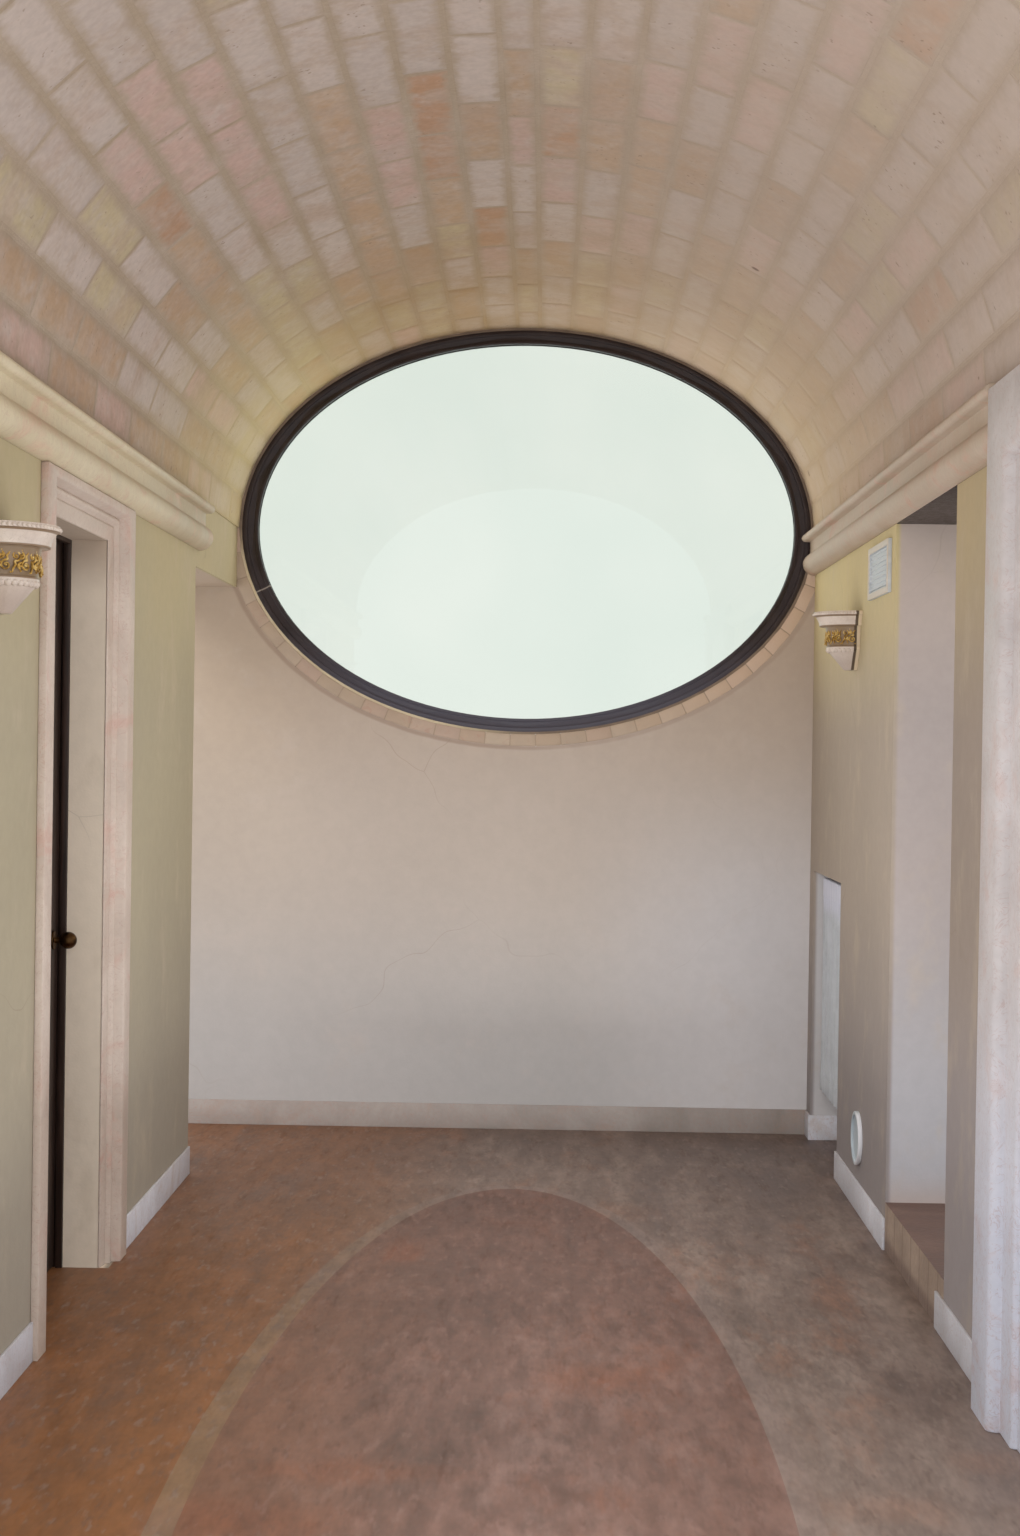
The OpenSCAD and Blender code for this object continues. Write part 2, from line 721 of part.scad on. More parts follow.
module radiator() color(white_enamel) place()
    translate([radiator_x, niche_near + radiator_gap, radiator_z]) {
        for (i = [0 : radiator_ribs - 1])
            translate([0, (i + 0.5) * rib_pitch, 0]) radiator_section();
        for (z = [hub_h / 2, radiator_h - hub_h / 2]) {
            translate([radiator_d / 2, rib_pitch / 2, z]) rotate([-90, 0, 0])
                cylinder(r = pipe_r, h = radiator_w - rib_pitch, $fn = 24);
            for (i = [2, radiator_ribs - 2])
                translate([radiator_d / 2, i * rib_pitch - bracket_w / 2, z - pipe_r / 2])
                    cube([radiator_d / 2 + bracket_l, bracket_w, pipe_r]);
        }
    }

// Half bowl on a flat back plate of the same outline. From its rim down it has a flared
// plain collar, a recessed band for the ornament, a lip and a cone with a cut-off foot.
rim_h = 0.065 * lamp_h;
collar_z = 0.75 * lamp_h;
band_z = 0.41 * lamp_h;
lip_z = 0.345 * lamp_h;
band_r = 0.63 * lamp_r;
band_top_r = 0.69 * lamp_r;
foot_r = 0.20 * lamp_r;
lamp_section = [[foot_r, 0], [0.62 * lamp_r, lip_z - 3], [0.66 * lamp_r, lip_z],
    [0.66 * lamp_r, band_z], [band_r, band_z], [band_top_r, collar_z], [0.84 * lamp_r, collar_z],
    [0.86 * lamp_r, 0.82 * lamp_h], [0.95 * lamp_r, lamp_h - rim_h], [lamp_r, lamp_h - rim_h],
    [lamp_r, lamp_h]];
cup_floor = 3 * lamp_wall;
cup_section = [[0, lamp_h + over], [lamp_r - 2 * lamp_wall, lamp_h + over],
    [band_top_r - lamp_wall, collar_z], [band_r - lamp_wall, band_z], [foot_r, cup_floor],
    [0, cup_floor]];

module half_bowl() difference() {
    rotate_extrude($fn = 64) polygon(concat([[0, 0]], lamp_section, [[0, lamp_h]]));
    rotate_extrude($fn = 64) polygon(cup_section);
    block(-2 * lamp_r, 2 * lamp_r, -2 * lamp_r, 0, -over, lamp_h + 2 * over);
}

module back_plate() rotate([90, 0, 0]) linear_extrude(lamp_plate) for (side = [0, 1])
    mirror([side, 0]) polygon(concat([[0, 0]], lamp_section, [[0, lamp_h]]));

module wall_lamp(y) on_right_face(-y) translate([0, lamp_plate, lamp_z - lamp_h]) {
    half_bowl();
    back_plate();
}

module wall_lamp_right() color([0.85, 0.79, 0.66]) place() wall_lamp(lamp_right_y);

module wall_lamp_left() color([0.85, 0.79, 0.66]) place() on_left() wall_lamp(lamp_left_y);

// Framed vent with level slats
grille_border = 20;
slat_pitch = 16;
slat_t = 5;
slat_count = floor((grille_h - 2 * grille_border) / slat_pitch);

module vent_grille() color(white_enamel) place() on_right_face(-grille_y - grille_w)
    translate([0, 0, grille_z]) {
        difference() {
            cube([grille_w, grille_t, grille_h]);
            block(grille_border, grille_w - grille_border, grille_t / 3, grille_t + over,
                grille_border, grille_h - grille_border);
        }
        for (i = [0 : slat_count - 1])
            translate([grille_border, grille_t / 3, grille_border + (i + 0.5) * slat_pitch])
                cube([grille_w - 2 * grille_border, grille_t / 3, slat_t]);
    }

module round_vent() color(white_enamel) place() translate([half_w, -disc_y, disc_z])
    rotate([0, -90, 0]) difference() {
        cylinder(r = disc_r, h = grille_t, $fn = 64);
        translate([0, 0, grille_t / 2]) cylinder(r = disc_r * 0.86, h = grille_t, $fn = 64);
    }

floor_slab();
floor_screed();
floor_border();
floor_inlay();
end_wall();
gable();
left_wall_front();
left_wall_over_door();
left_wall_pier();
left_wall_over_passage();
right_wall_end();
right_wall_over_doorway();
right_wall_pier();
right_wall_over_portal();
right_wall_front();
vault_key();
vault_left_springers();
vault_left_haunch();
vault_left_crown();
vault_right_springers();
vault_right_haunch();
vault_right_crown();
vault_cover();
oval_ring_lower();
oval_ring_upper();
mortar_bed();
window_frame();
window_glass();
glazing_bead();
cornice_left();
cornice_right();
skirting_left();
skirting_right();
skirting_end();
door_trim();
door_frame();
jamb_hinges();
door_leaf();
leaf_hinges();
door_knob();
doorway_step();
doorway_lintel();
portal_trim();
radiator();
wall_lamp_left();
wall_lamp_right();
vent_grille();
round_vent();
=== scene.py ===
"""Looks for the vaulted hall bay with an oval window.

Lengths are in metres. Most sizes are written in hall coordinates, whose origin is on the
floor finish, in the middle of the end wall's inner face; the hall runs away towards -Y.
put_in_frame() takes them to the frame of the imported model.
"""
import math
import random

import bmesh
import bpy
from mathutils import Matrix, Vector


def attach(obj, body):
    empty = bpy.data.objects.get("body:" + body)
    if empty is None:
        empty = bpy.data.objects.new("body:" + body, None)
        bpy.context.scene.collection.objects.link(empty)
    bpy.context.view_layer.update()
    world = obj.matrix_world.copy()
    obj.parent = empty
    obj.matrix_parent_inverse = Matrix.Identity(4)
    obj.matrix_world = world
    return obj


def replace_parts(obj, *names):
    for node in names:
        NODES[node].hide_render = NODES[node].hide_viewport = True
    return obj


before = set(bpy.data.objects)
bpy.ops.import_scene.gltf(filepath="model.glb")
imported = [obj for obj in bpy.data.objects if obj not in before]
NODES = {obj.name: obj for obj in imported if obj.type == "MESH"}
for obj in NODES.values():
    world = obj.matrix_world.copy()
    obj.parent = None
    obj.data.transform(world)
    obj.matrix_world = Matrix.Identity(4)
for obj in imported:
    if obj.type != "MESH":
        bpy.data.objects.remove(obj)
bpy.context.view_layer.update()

HALL = "hall"
DOOR = "door"
TO_FRAME = Vector((0.0, 2.425, 0.150))

# Sizes shared with the part's source
HALF_W = 1.172
OVAL_W = 1.166
OUTER_W = 1.522
BAY_L = 5.200
END_T = 0.350
SPRING = 2.427
RISE = 0.823
COURSES = 25
KEY_W = 0.090
VAULT_T = 0.180
ROOF_RISE = 1.063
RING_W = 0.048
NICHE_NEAR = 0.880
RADIATOR_GAP = 0.025
COLUMN_PITCH = 0.06455
GRILLE_T = 0.014
VENT_Y = TO_FRAME.y - 1.400
VENT_Z = TO_FRAME.z + 0.245
LAMP_TOP = 2.037
LAMP_H = 0.200
LAMP_R = 0.134
LAMP_PLATE = 0.016
LAMP_RIGHT_Y = -1.165
LAMP_LEFT_Y = -3.755

NICHE_SIDE = TO_FRAME.y - NICHE_NEAR + 0.05

# Where the window frame's ends are welded, as an angle round the oval
WELD_TURN = 3.472

# Heights on the lamp bowls above their foot
BAND_LOW = 0.084
BAND_HIGH = 0.148
BROWN_LINES = [(0.079, 0.084), (0.148, 0.153), (0.183, 0.187)]

# Width of the tiles on the step's riser
STEP_TILE_W = 0.14

# The camera's place, lens in millimetres and turns in radians
CAMERA_AT = (0.0902, -8.519, 1.55)
CAMERA_LENS = 49.22
CAMERA_YAW = 0.0165
CAMERA_PITCH = -0.0098
CAMERA_ROLL = -0.015

# Corners nearer than this are one, and turns in degrees that are flat, rounded off and smooth
SAME_CORNER = 0.00005
FLAT_TURN = 0.6
ARRIS_TURN = 38.0
SMOOTH_TURN = 35.0

# Texture cycles in a metre past which nothing shows at the hall's size
FINEST_GRAIN = 130.0


def put_in_frame(point):
    """A point in hall coordinates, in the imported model's frame."""
    return Vector(point) + TO_FRAME


# ---- Node trees ----

class Nodes:
    """A node tree that is being filled."""

    def __init__(self, tree):
        self.tree = tree

    def add(self, kind, inputs=None, **settings):
        """Adds a node; an input is linked if it is given a socket, and set otherwise."""
        node = self.tree.nodes.new(kind)
        for key, value in settings.items():
            setattr(node, key, value)
        for key, value in (inputs or {}).items():
            if isinstance(value, bpy.types.NodeSocket):
                self.tree.links.new(value, node.inputs[key])
            else:
                node.inputs[key].default_value = value
        return node

    def out(self, kind, inputs=None, **settings):
        """Adds a node and gives its first output."""
        return self.add(kind, inputs, **settings).outputs[0]

    def math(self, operation, a, b=0.0):
        return self.out("ShaderNodeMath", {0: a, 1: b}, operation=operation)

    def sum(self, a, b):
        return self.math("ADD", a, b)

    def times(self, a, b):
        return self.math("MULTIPLY", a, b)

    def vector(self, operation, a, b=(0.0, 0.0, 0.0)):
        """A sum on vectors; a length or a dot product comes out as a number."""
        node = self.add("ShaderNodeVectorMath", {0: a, 1: b}, operation=operation)
        return node.outputs["Value" if operation in ("LENGTH", "DOT_PRODUCT") else "Vector"]


def linear_light(colour):
    """Linear light for a painter's colour, three numbers from 0 to 255; others stay as given."""
    if not isinstance(colour, tuple) or len(colour) != 3:
        return colour
    shares = [v / 255 for v in colour]
    return tuple(v / 12.92 if v <= 0.04045 else ((v + 0.055) / 1.055) ** 2.4
                 for v in shares) + (1.0,)


class Finish(Nodes):
    """A material whose colour, roughness and relief come from nodes on Object coordinates."""

    def __init__(self, name):
        self.material = bpy.data.materials.new(name)
        self.material.use_nodes = True
        super().__init__(self.material.node_tree)
        self.tree.nodes.clear()
        self.place = self.add("ShaderNodeTexCoord").outputs["Object"]
        self.x, self.y, self.z = self.parts(self.place)

    def parts(self, vector):
        return self.add("ShaderNodeSeparateXYZ", {0: vector}).outputs

    def attribute(self, name, output="Fac"):
        return self.add("ShaderNodeAttribute", attribute_name=name).outputs[output]

    def size(self, value):
        return self.math("ABSOLUTE", value)

    def off_middle(self, value, pitch):
        """How far a value is from the middle of its step of a pitch, from 0 to 0.5."""
        turn = self.math("FLOORED_MODULO", self.times(value, 1.0 / pitch), 1.0)
        return self.size(self.sum(turn, -0.5))

    def span(self, value, low, high, to_low=0.0, to_high=1.0):
        """Value from low..high taken to to_low..to_high, held at the ends."""
        return self.out("ShaderNodeMapRange", {
            "Value": value, "From Min": low, "From Max": high,
            "To Min": to_low, "To Max": to_high}, interpolation_type="SMOOTHSTEP")

    def band(self, value, low, high, edge, share):
        """Share between low and high, and 0 past a soft edge on either side."""
        inside = self.times(self.span(value, low - edge, low), self.span(value, high + edge, high))
        return self.times(inside, share)

    def stretched(self, x, y, z):
        return self.out("ShaderNodeMapping", {"Vector": self.place, "Scale": (x, y, z)})

    def noise(self, scale, detail=4.0, rough=0.55, place=None, distortion=0.0):
        """Cloudy noise; octaves finer than the finest grain are left out."""
        detail = min(detail, max(0.5, math.log2(FINEST_GRAIN / scale)))
        return self.out("ShaderNodeTexNoise", {
            "Vector": place or self.place, "Scale": scale, "Detail": detail,
            "Roughness": rough, "Distortion": distortion})

    def cells(self, scale, feature="F1", place=None):
        return self.add("ShaderNodeTexVoronoi", {"Vector": place or self.place, "Scale": scale},
                        feature=feature).outputs["Distance"]

    def ramp(self, value, stops, interpolation="LINEAR"):
        node = self.add("ShaderNodeValToRGB", {0: value})
        ramp = node.color_ramp
        ramp.interpolation = interpolation
        while len(ramp.elements) < len(stops):
            ramp.elements.new(1.0)
        for element, (at, colour) in zip(ramp.elements, stops):
            element.position = at
            element.color = linear_light(colour)
        return node.outputs[0]

    def tones(self, value, low, high):
        """From one colour to another over the middle of a noise."""
        return self.ramp(value, [(0.3, low), (0.7, high)])

    def mix(self, share, a, b, blend="MIX"):
        return self.add("ShaderNodeMix", {0: share, 6: linear_light(a), 7: linear_light(b)},
                        data_type="RGBA", blend_type=blend).outputs[2]

    def tint(self, body, colour, value, low, high, share=1.0):
        """Body taken towards a colour as a value goes from low to high, by share at most."""
        return self.mix(self.span(value, low, high, 0.0, share), body, colour)

    def shade(self, colour, value, low, high):
        """Colour made darker or lighter by a value from 0 to 1."""
        level = self.span(value, 0.25, 0.75, low, high)
        grey = self.out("ShaderNodeCombineColor", {0: level, 1: level, 2: level})
        return self.mix(1.0, colour, grey, "MULTIPLY")

    def close(self, colour, rough, height=None, depth=0.001, **constants):
        """Ends the material in one shader, with relief of the given depth in metres.

        Rough is one roughness, or a noise with the roughness at its low and at its high values.
        """
        if isinstance(rough, tuple):
            value, at_low, at_high = rough
            rough = self.span(value, 0.3, 0.7, at_low, at_high)
        shader = self.add("ShaderNodeBsdfPrincipled", {"Base Color": colour, "Roughness": rough})
        for key, value in constants.items():
            shader.inputs[key.replace("_", " ")].default_value = value
        if height is not None:
            bump = self.out("ShaderNodeBump", {"Height": height, "Distance": depth, "Strength": 1.0})
            self.tree.links.new(bump, shader.inputs["Normal"])
        self.add("ShaderNodeOutputMaterial", {"Surface": shader.outputs[0]})
        return self.material


# ---- Materials ----

def wall_plaster():
    """Smooth trowelled plaster, darker and greyer low down as painted shade, yellower high up, with
    the window's yellow light painted on towards the window.
    """
    f = Finish("trowelled_wall_plaster")
    away = f.span(f.y, 0.5, -0.6)
    right = f.mix(f.span(f.z, 0.35, 1.35), (140, 131, 129), (159, 145, 131))
    right = f.mix(away, right, f.mix(f.span(f.z, 0.6, 1.3), (150, 141, 140), (150, 135, 123)))
    left = f.mix(f.span(f.z, 0.3, 1.5), (156, 146, 131), (163, 152, 127))
    body = f.tint(left, right, f.x, -0.5, 0.5)
    # Painted window light: the wall tops are taken towards a bright yellow near the window.
    bright = f.mix(away, (200, 182, 130), (183, 163, 123))
    top = f.mix(f.span(f.x, -0.5, 0.5), (178, 164, 127), bright)
    body = f.tint(body, top, f.z, 1.7, 2.35, 0.8)
    side = f.size(f.x)
    stone = f.mix(f.span(f.z, 0.5, 1.4), (175, 172, 175), (166, 154, 149))
    stone = f.tint(stone, (184, 168, 158), f.z, 1.75, 2.35)
    stone = f.tint(stone, (186, 158, 138), f.z, 0.42, 0.22, 0.7)
    stone = f.tint(stone, (192, 187, 186), f.y, NICHE_SIDE - 0.1, NICHE_SIDE)
    # Painted light: the left door's jamb is painted much paler, up to its head.
    painted_jamb_light = f.times(f.span(f.y, 1.0, 0.7), f.span(f.z, 2.27, 2.12))
    left_stone = f.mix(painted_jamb_light, (186, 167, 148), (220, 204, 184))
    stone = f.tint(stone, left_stone, f.x, 0.5, -0.5)
    body = f.tint(body, stone, side, HALF_W + 0.004, HALF_W + 0.02)
    blotch = f.noise(1.7, 6.0, 0.62)
    body = f.shade(body, blotch, 0.955, 1.04)
    rubbed = f.noise(6.5, 6.0, 0.66, f.stretched(1.0, 1.0, 0.55))
    body = f.tint(body, (186, 168, 146), rubbed, 0.52, 0.72, 0.3)
    body = f.shade(body, f.noise(24.0, 6.0, 0.66), 0.97, 1.02)
    body = f.mix(hair_cracks(f), body, (132, 116, 100))
    body = f.tint(body, outer_colour(f), side, OUTER_W - 0.012, OUTER_W - 0.002)
    trowel = f.noise(3.2, 3.0, 0.5, f.stretched(1.0, 1.0, 0.5))
    grain = f.noise(160.0, 3.0, 0.6)
    height = f.sum(trowel, f.times(grain, 0.12))
    return f.close(body, f.span(blotch, 0.2, 0.8, 0.62, 0.85), height, 0.0025)


def hair_cracks(f):
    """Share of colour in a few hair-thin shrinkage cracks."""
    wander = f.add("ShaderNodeTexNoise", {"Vector": f.place, "Scale": 2.5, "Detail": 2.0})
    bent = f.vector("MULTIPLY", wander.outputs["Color"], (0.35, 0.35, 0.35))
    lines = f.cells(0.9, "DISTANCE_TO_EDGE", f.vector("ADD", f.place, bent))
    few = f.span(f.noise(0.8, 2.0), 0.5, 0.62)
    return f.times(f.span(lines, 0.0005, 0.0022, 0.4, 0.0), few)


def outer_colour(f):
    """Colour of the weathered lime render on every outer face."""
    stain = f.noise(0.9, 6.0, 0.65, f.stretched(1.0, 1.0, 0.45))
    body = f.ramp(stain, [(0.28, (176, 164, 143)), (0.5, (200, 189, 166)), (0.75, (210, 200, 180))])
    return f.tint(body, (150, 138, 120), f.z, 0.45, 0.0, 0.35)


def outer_face(f):
    """Share of colour on the faces that the weather reaches: back, flanks and roof edge."""
    above = f.math("MAXIMUM", f.sum(f.z, -SPRING - TO_FRAME.z), 0.0)
    up = f.times(above, 1.0 / ROOF_RISE)
    across = f.times(f.x, 1.0 / OUTER_W)
    reach = f.sum(f.times(across, across), f.times(up, up))
    behind = f.span(f.y, TO_FRAME.y + END_T - 0.012, TO_FRAME.y + END_T - 0.002)
    return f.math("MAXIMUM", f.span(reach, 0.975, 0.99), behind)


def end_plaster():
    """Cream plaster of the end wall, pinker under the oval and greyer at the foot, with painted
    light on its lower right.
    """
    f = Finish("end_wall_plaster")
    body = f.mix(f.span(f.z, 0.35, 1.35), (172, 167, 164), (178, 165, 154))
    body = f.tint(body, (176, 158, 142), f.z, 1.3, 2.2)
    # Painted light: the lower right of the wall is painted paler.
    bright = f.times(f.span(f.x, 0.1, 0.95), f.span(f.z, 1.75, 0.9))
    body = f.mix(f.times(bright, 0.95), body, (196, 190, 189))
    side = f.times(f.span(f.x, -0.6, -1.3, 0.0, 0.5), f.span(f.z, 0.6, 2.2))
    body = f.mix(side, body, (176, 157, 134))
    cloud = f.noise(1.3, 6.0, 0.64)
    body = f.shade(body, cloud, 0.965, 1.03)
    rubbed = f.noise(5.0, 6.0, 0.66)
    body = f.tint(body, (186, 172, 162), rubbed, 0.52, 0.72, 0.28)
    body = f.shade(body, f.noise(22.0, 6.0, 0.66), 0.975, 1.02)
    flat = f.vector("ADD", f.place, (0.0, -TO_FRAME.y, -SPRING - TO_FRAME.z))
    flat = f.vector("MULTIPLY", flat, (1.0 / (OVAL_W + RING_W), 0.0, 1.0 / (RISE + RING_W)))
    reach = f.sum(f.vector("LENGTH", flat), f.times(f.noise(7.0, 4.0, 0.6), 0.010))
    rim = f.times(f.span(reach, 1.003, 1.009), f.span(reach, 1.028, 1.016))
    rim = f.times(rim, f.span(f.x, 0.3, -0.2, 0.3, 0.55))
    body = f.mix(rim, body, (138, 114, 98))
    body = f.mix(hair_cracks(f), body, (148, 130, 116))
    body = f.mix(outer_face(f), body, outer_colour(f))
    trowel = f.noise(2.6, 3.0, 0.5)
    grain = f.noise(150.0, 3.0, 0.6)
    height = f.sum(trowel, f.times(grain, 0.12))
    return f.close(body, f.span(cloud, 0.2, 0.8, 0.6, 0.82), height, 0.0022)


def outer_render():
    """Matt lime render of the gable and the roof."""
    f = Finish("outer_lime_render")
    sand = f.noise(220.0, 3.0, 0.7)
    float_marks = f.noise(5.0, 4.0, 0.6)
    height = f.sum(float_marks, f.times(sand, 0.25))
    body = f.shade(outer_colour(f), f.noise(30.0, 4.0, 0.6), 0.96, 1.03)
    return f.close(body, f.span(float_marks, 0.2, 0.8, 0.8, 0.95), height, 0.004)


def window_glow(f, body):
    """Ochre round the window, partly dust and partly the window's yellow daylight painted on, palest
    at the sides of the vault.
    """
    near = f.span(f.y, -0.1, TO_FRAME.y - 0.4)
    patch = f.span(f.noise(2.2, 4.0), 0.3, 0.7, 0.6, 1.0)
    flank = f.mix(f.span(f.x, -0.3, 0.3), (187, 171, 121), (177, 146, 86))
    ochre = f.mix(f.span(f.size(f.x), 0.45, 1.05), (136, 104, 54), flank)
    return f.mix(f.times(f.times(near, patch), 0.72), body, ochre)


def painted_right_light(f, body):
    """Painted light: the right-hand side of the vault is made paler, in patches."""
    patch = f.span(f.noise(2.6, 6.0, 0.66), 0.3, 0.7, 0.7, 1.0)
    share = f.times(f.span(f.x, -0.25, 0.75, 0.0, 0.6), patch)
    return f.mix(share, body, (184, 165, 150))


def mortar_patch(f):
    return f.noise(4.0, 6.0, 0.64)


def mortar_colour(f, patch):
    """Sandy lime mortar, greyish over the hall, ochre by the window where its daylight is partly
    painted on, and paler on the right-hand side as painted light.
    """
    body = f.ramp(patch, [(0.3, (154, 136, 115)), (0.55, (162, 145, 127)), (0.75, (170, 154, 139))])
    body = f.shade(body, f.noise(90.0, 3.0, 0.6), 0.95, 1.04)
    return painted_right_light(f, window_glow(f, body))


def vault_stone():
    """Dressed stone in five kinds, each block with a shade of its own and smeared joints."""
    f = Finish("dressed_vault_stone")
    clean = f.ramp(f.attribute("kind"), [
        (0.0, (176, 161, 152)), (0.2, (180, 152, 141)), (0.4, (166, 139, 113)),
        (0.6, (164, 128, 101)), (0.8, (171, 155, 126))], "CONSTANT")
    stained = f.span(f.noise(5.5, 7.0, 0.72), 0.36, 0.58, 0.45, 1.0)
    clean = f.mix(stained, (172, 157, 146), clean)
    body = f.shade(clean, f.attribute("tone"), 0.97, 1.04)
    body = f.tint(body, (168, 138, 119), f.noise(1.5, 5.0, 0.6), 0.48, 0.7, 0.45)
    cloudy = f.noise(6.0, 8.0, 0.7)
    body = f.tint(body, (165, 146, 129), cloudy, 0.46, 0.68, 0.6)
    wash = f.noise(11.0, 6.0, 0.7, f.stretched(1.0, 0.6, 1.0))
    body = f.tint(body, (181, 168, 160), wash, 0.5, 0.75, 0.45)
    body = f.shade(body, f.noise(42.0, 6.0, 0.7), 0.93, 1.06)
    # Painted light: the window's yellow daylight round the window, and paler patches on the
    # right-hand side.
    body = painted_right_light(f, window_glow(f, body))
    sparse = f.span(f.noise(7.0, 2.0), 0.52, 0.62)
    pit = f.times(f.span(f.noise(65.0, 1.0), 0.66, 0.74), sparse)
    body = f.mix(f.times(pit, 0.6), body, (116, 96, 78))
    chips = f.span(f.cells(3.1), 0.03, 0.055, 0.75, 0.0)
    chips = f.times(chips, f.span(f.noise(1.1, 2.0), 0.58, 0.6))
    body = f.mix(chips, body, (92, 66, 54))
    pointing = mortar_colour(f, mortar_patch(f))
    edge = f.parts(f.attribute("edge", "Vector"))
    nearest = f.math("MINIMUM", edge[0], f.sum(edge[1], 0.006))
    ragged = f.sum(f.noise(26.0, 5.0, 0.65), -0.5)
    nearest = f.sum(nearest, f.times(ragged, 0.040))
    smear = f.span(nearest, -0.002, 0.026, 0.9, 0.0)
    body = f.mix(smear, body, pointing)
    tool = f.noise(70.0, 4.0, 0.6, f.stretched(1.0, 0.25, 1.0))
    height = f.sum(f.times(cloudy, 0.8), f.times(tool, 0.25))
    height = f.sum(height, f.times(smear, -0.25))
    return f.close(body, (cloudy, 0.7, 0.92), height, 0.003)


def shadow_joint():
    """The joint round the window frame: brown as painted shade, and pale on the lower left."""
    f = Finish("old_brown_mastic")
    patch = f.noise(14.0, 5.0, 0.6)
    # Painted shade: the brown of the joint.
    brown = f.tones(patch, (110, 94, 80), (136, 118, 102))
    pale = f.tones(patch, (188, 172, 142), (206, 192, 164))
    pale_lower_left = f.times(f.span(f.x, 0.1, -0.4), f.span(f.z, 2.60, 2.40))
    body = f.mix(pale_lower_left, brown, pale)
    return f.close(body, (patch, 0.7, 0.9), f.noise(200.0, 2.0, 0.6), 0.0008)


def ring_mortar():
    """Pale lime between the ring stones."""
    f = Finish("pale_ring_lime")
    patch = f.noise(9.0, 5.0, 0.6)
    body = f.tones(patch, (158, 139, 120), (169, 151, 133))
    return f.close(body, (patch, 0.8, 0.95), f.noise(240.0, 2.0, 0.6), 0.001)


def mortar():
    f = Finish("sandy_lime_mortar")
    patch = mortar_patch(f)
    body = mortar_colour(f, patch)
    height = f.sum(f.noise(260.0, 2.0, 0.6), f.times(patch, 1.4))
    return f.close(body, (patch, 0.85, 0.95), height, 0.0015)


def ring_stone():
    """Pinkish beige ring stones, each with its own shade."""
    f = Finish("pinkish_ring_stone")
    body = f.ramp(f.attribute("tone"), [
        (0.0, (171, 151, 131)), (0.3, (176, 157, 138)), (0.55, (172, 151, 130)),
        (0.8, (175, 151, 135)), (1.0, (178, 160, 141))])
    cloudy = f.noise(12.0, 6.0, 0.66)
    body = f.shade(body, cloudy, 0.93, 1.05)
    veins = f.noise(26.0, 6.0, 0.66, None, 1.2)
    body = f.tint(body, (170, 134, 118), veins, 0.58, 0.72, 0.45)
    body = f.tint(body, (203, 176, 153), f.x, 0.3, 1.0, 0.7)
    height = f.sum(cloudy, f.times(f.noise(120.0, 3.0), 0.2))
    return f.close(body, (cloudy, 0.6, 0.85), height, 0.002)


def pale_stone(name, dark, middle, light, stain_colour, stains, foot=None, end=None):
    """Honed pale limestone with pink stains and fine veins.

    Where given, foot is a cooler colour low down, painted cool light, and end a duller one by the
    end wall, painted shade.
    """
    f = Finish(name)
    cloudy = f.noise(3.4, 6.0, 0.62, None, 0.6)
    body = f.ramp(cloudy, [(0.3, dark), (0.5, middle), (0.7, light)])
    if foot:
        body = f.tint(body, foot, f.z, 1.3, 0.5, 0.8)
    if end:
        body = f.tint(body, end, f.y, 0.3, 1.0)
    stain = f.noise(4.6, 6.0, 0.66, f.stretched(1.0, 0.7, 1.0), 1.4)
    body = f.tint(body, stain_colour, stain, 0.52, 0.7, stains)
    vein = f.noise(16.0, 6.0, 0.6, None, 2.2)
    body = f.tint(body, (170, 128, 116), f.size(f.sum(vein, -0.5)), 0.02, 0.0, 0.35)
    body = f.shade(body, f.noise(60.0, 4.0, 0.6), 0.965, 1.02)
    height = f.sum(cloudy, f.times(f.noise(140.0, 3.0), 0.1))
    return f.close(body, (cloudy, 0.42, 0.62), height, 0.0015)


FLOOR_BLOTCHES = [
    ((-0.317, -2.08), 0.10, 0.26, 0.85), ((0.24, -3.36), 0.22, 0.18, 0.5),
    ((-0.52, -4.36), 0.30, 0.22, 0.65), ((0.36, -1.50), 0.20, 0.24, 0.35),
    ((-0.30, -4.06), 0.34, 0.12, 0.5), ((1.10, -3.93), 0.22, 0.14, 0.55),
    ((0.82, -4.22), 0.22, 0.14, 0.45),
]


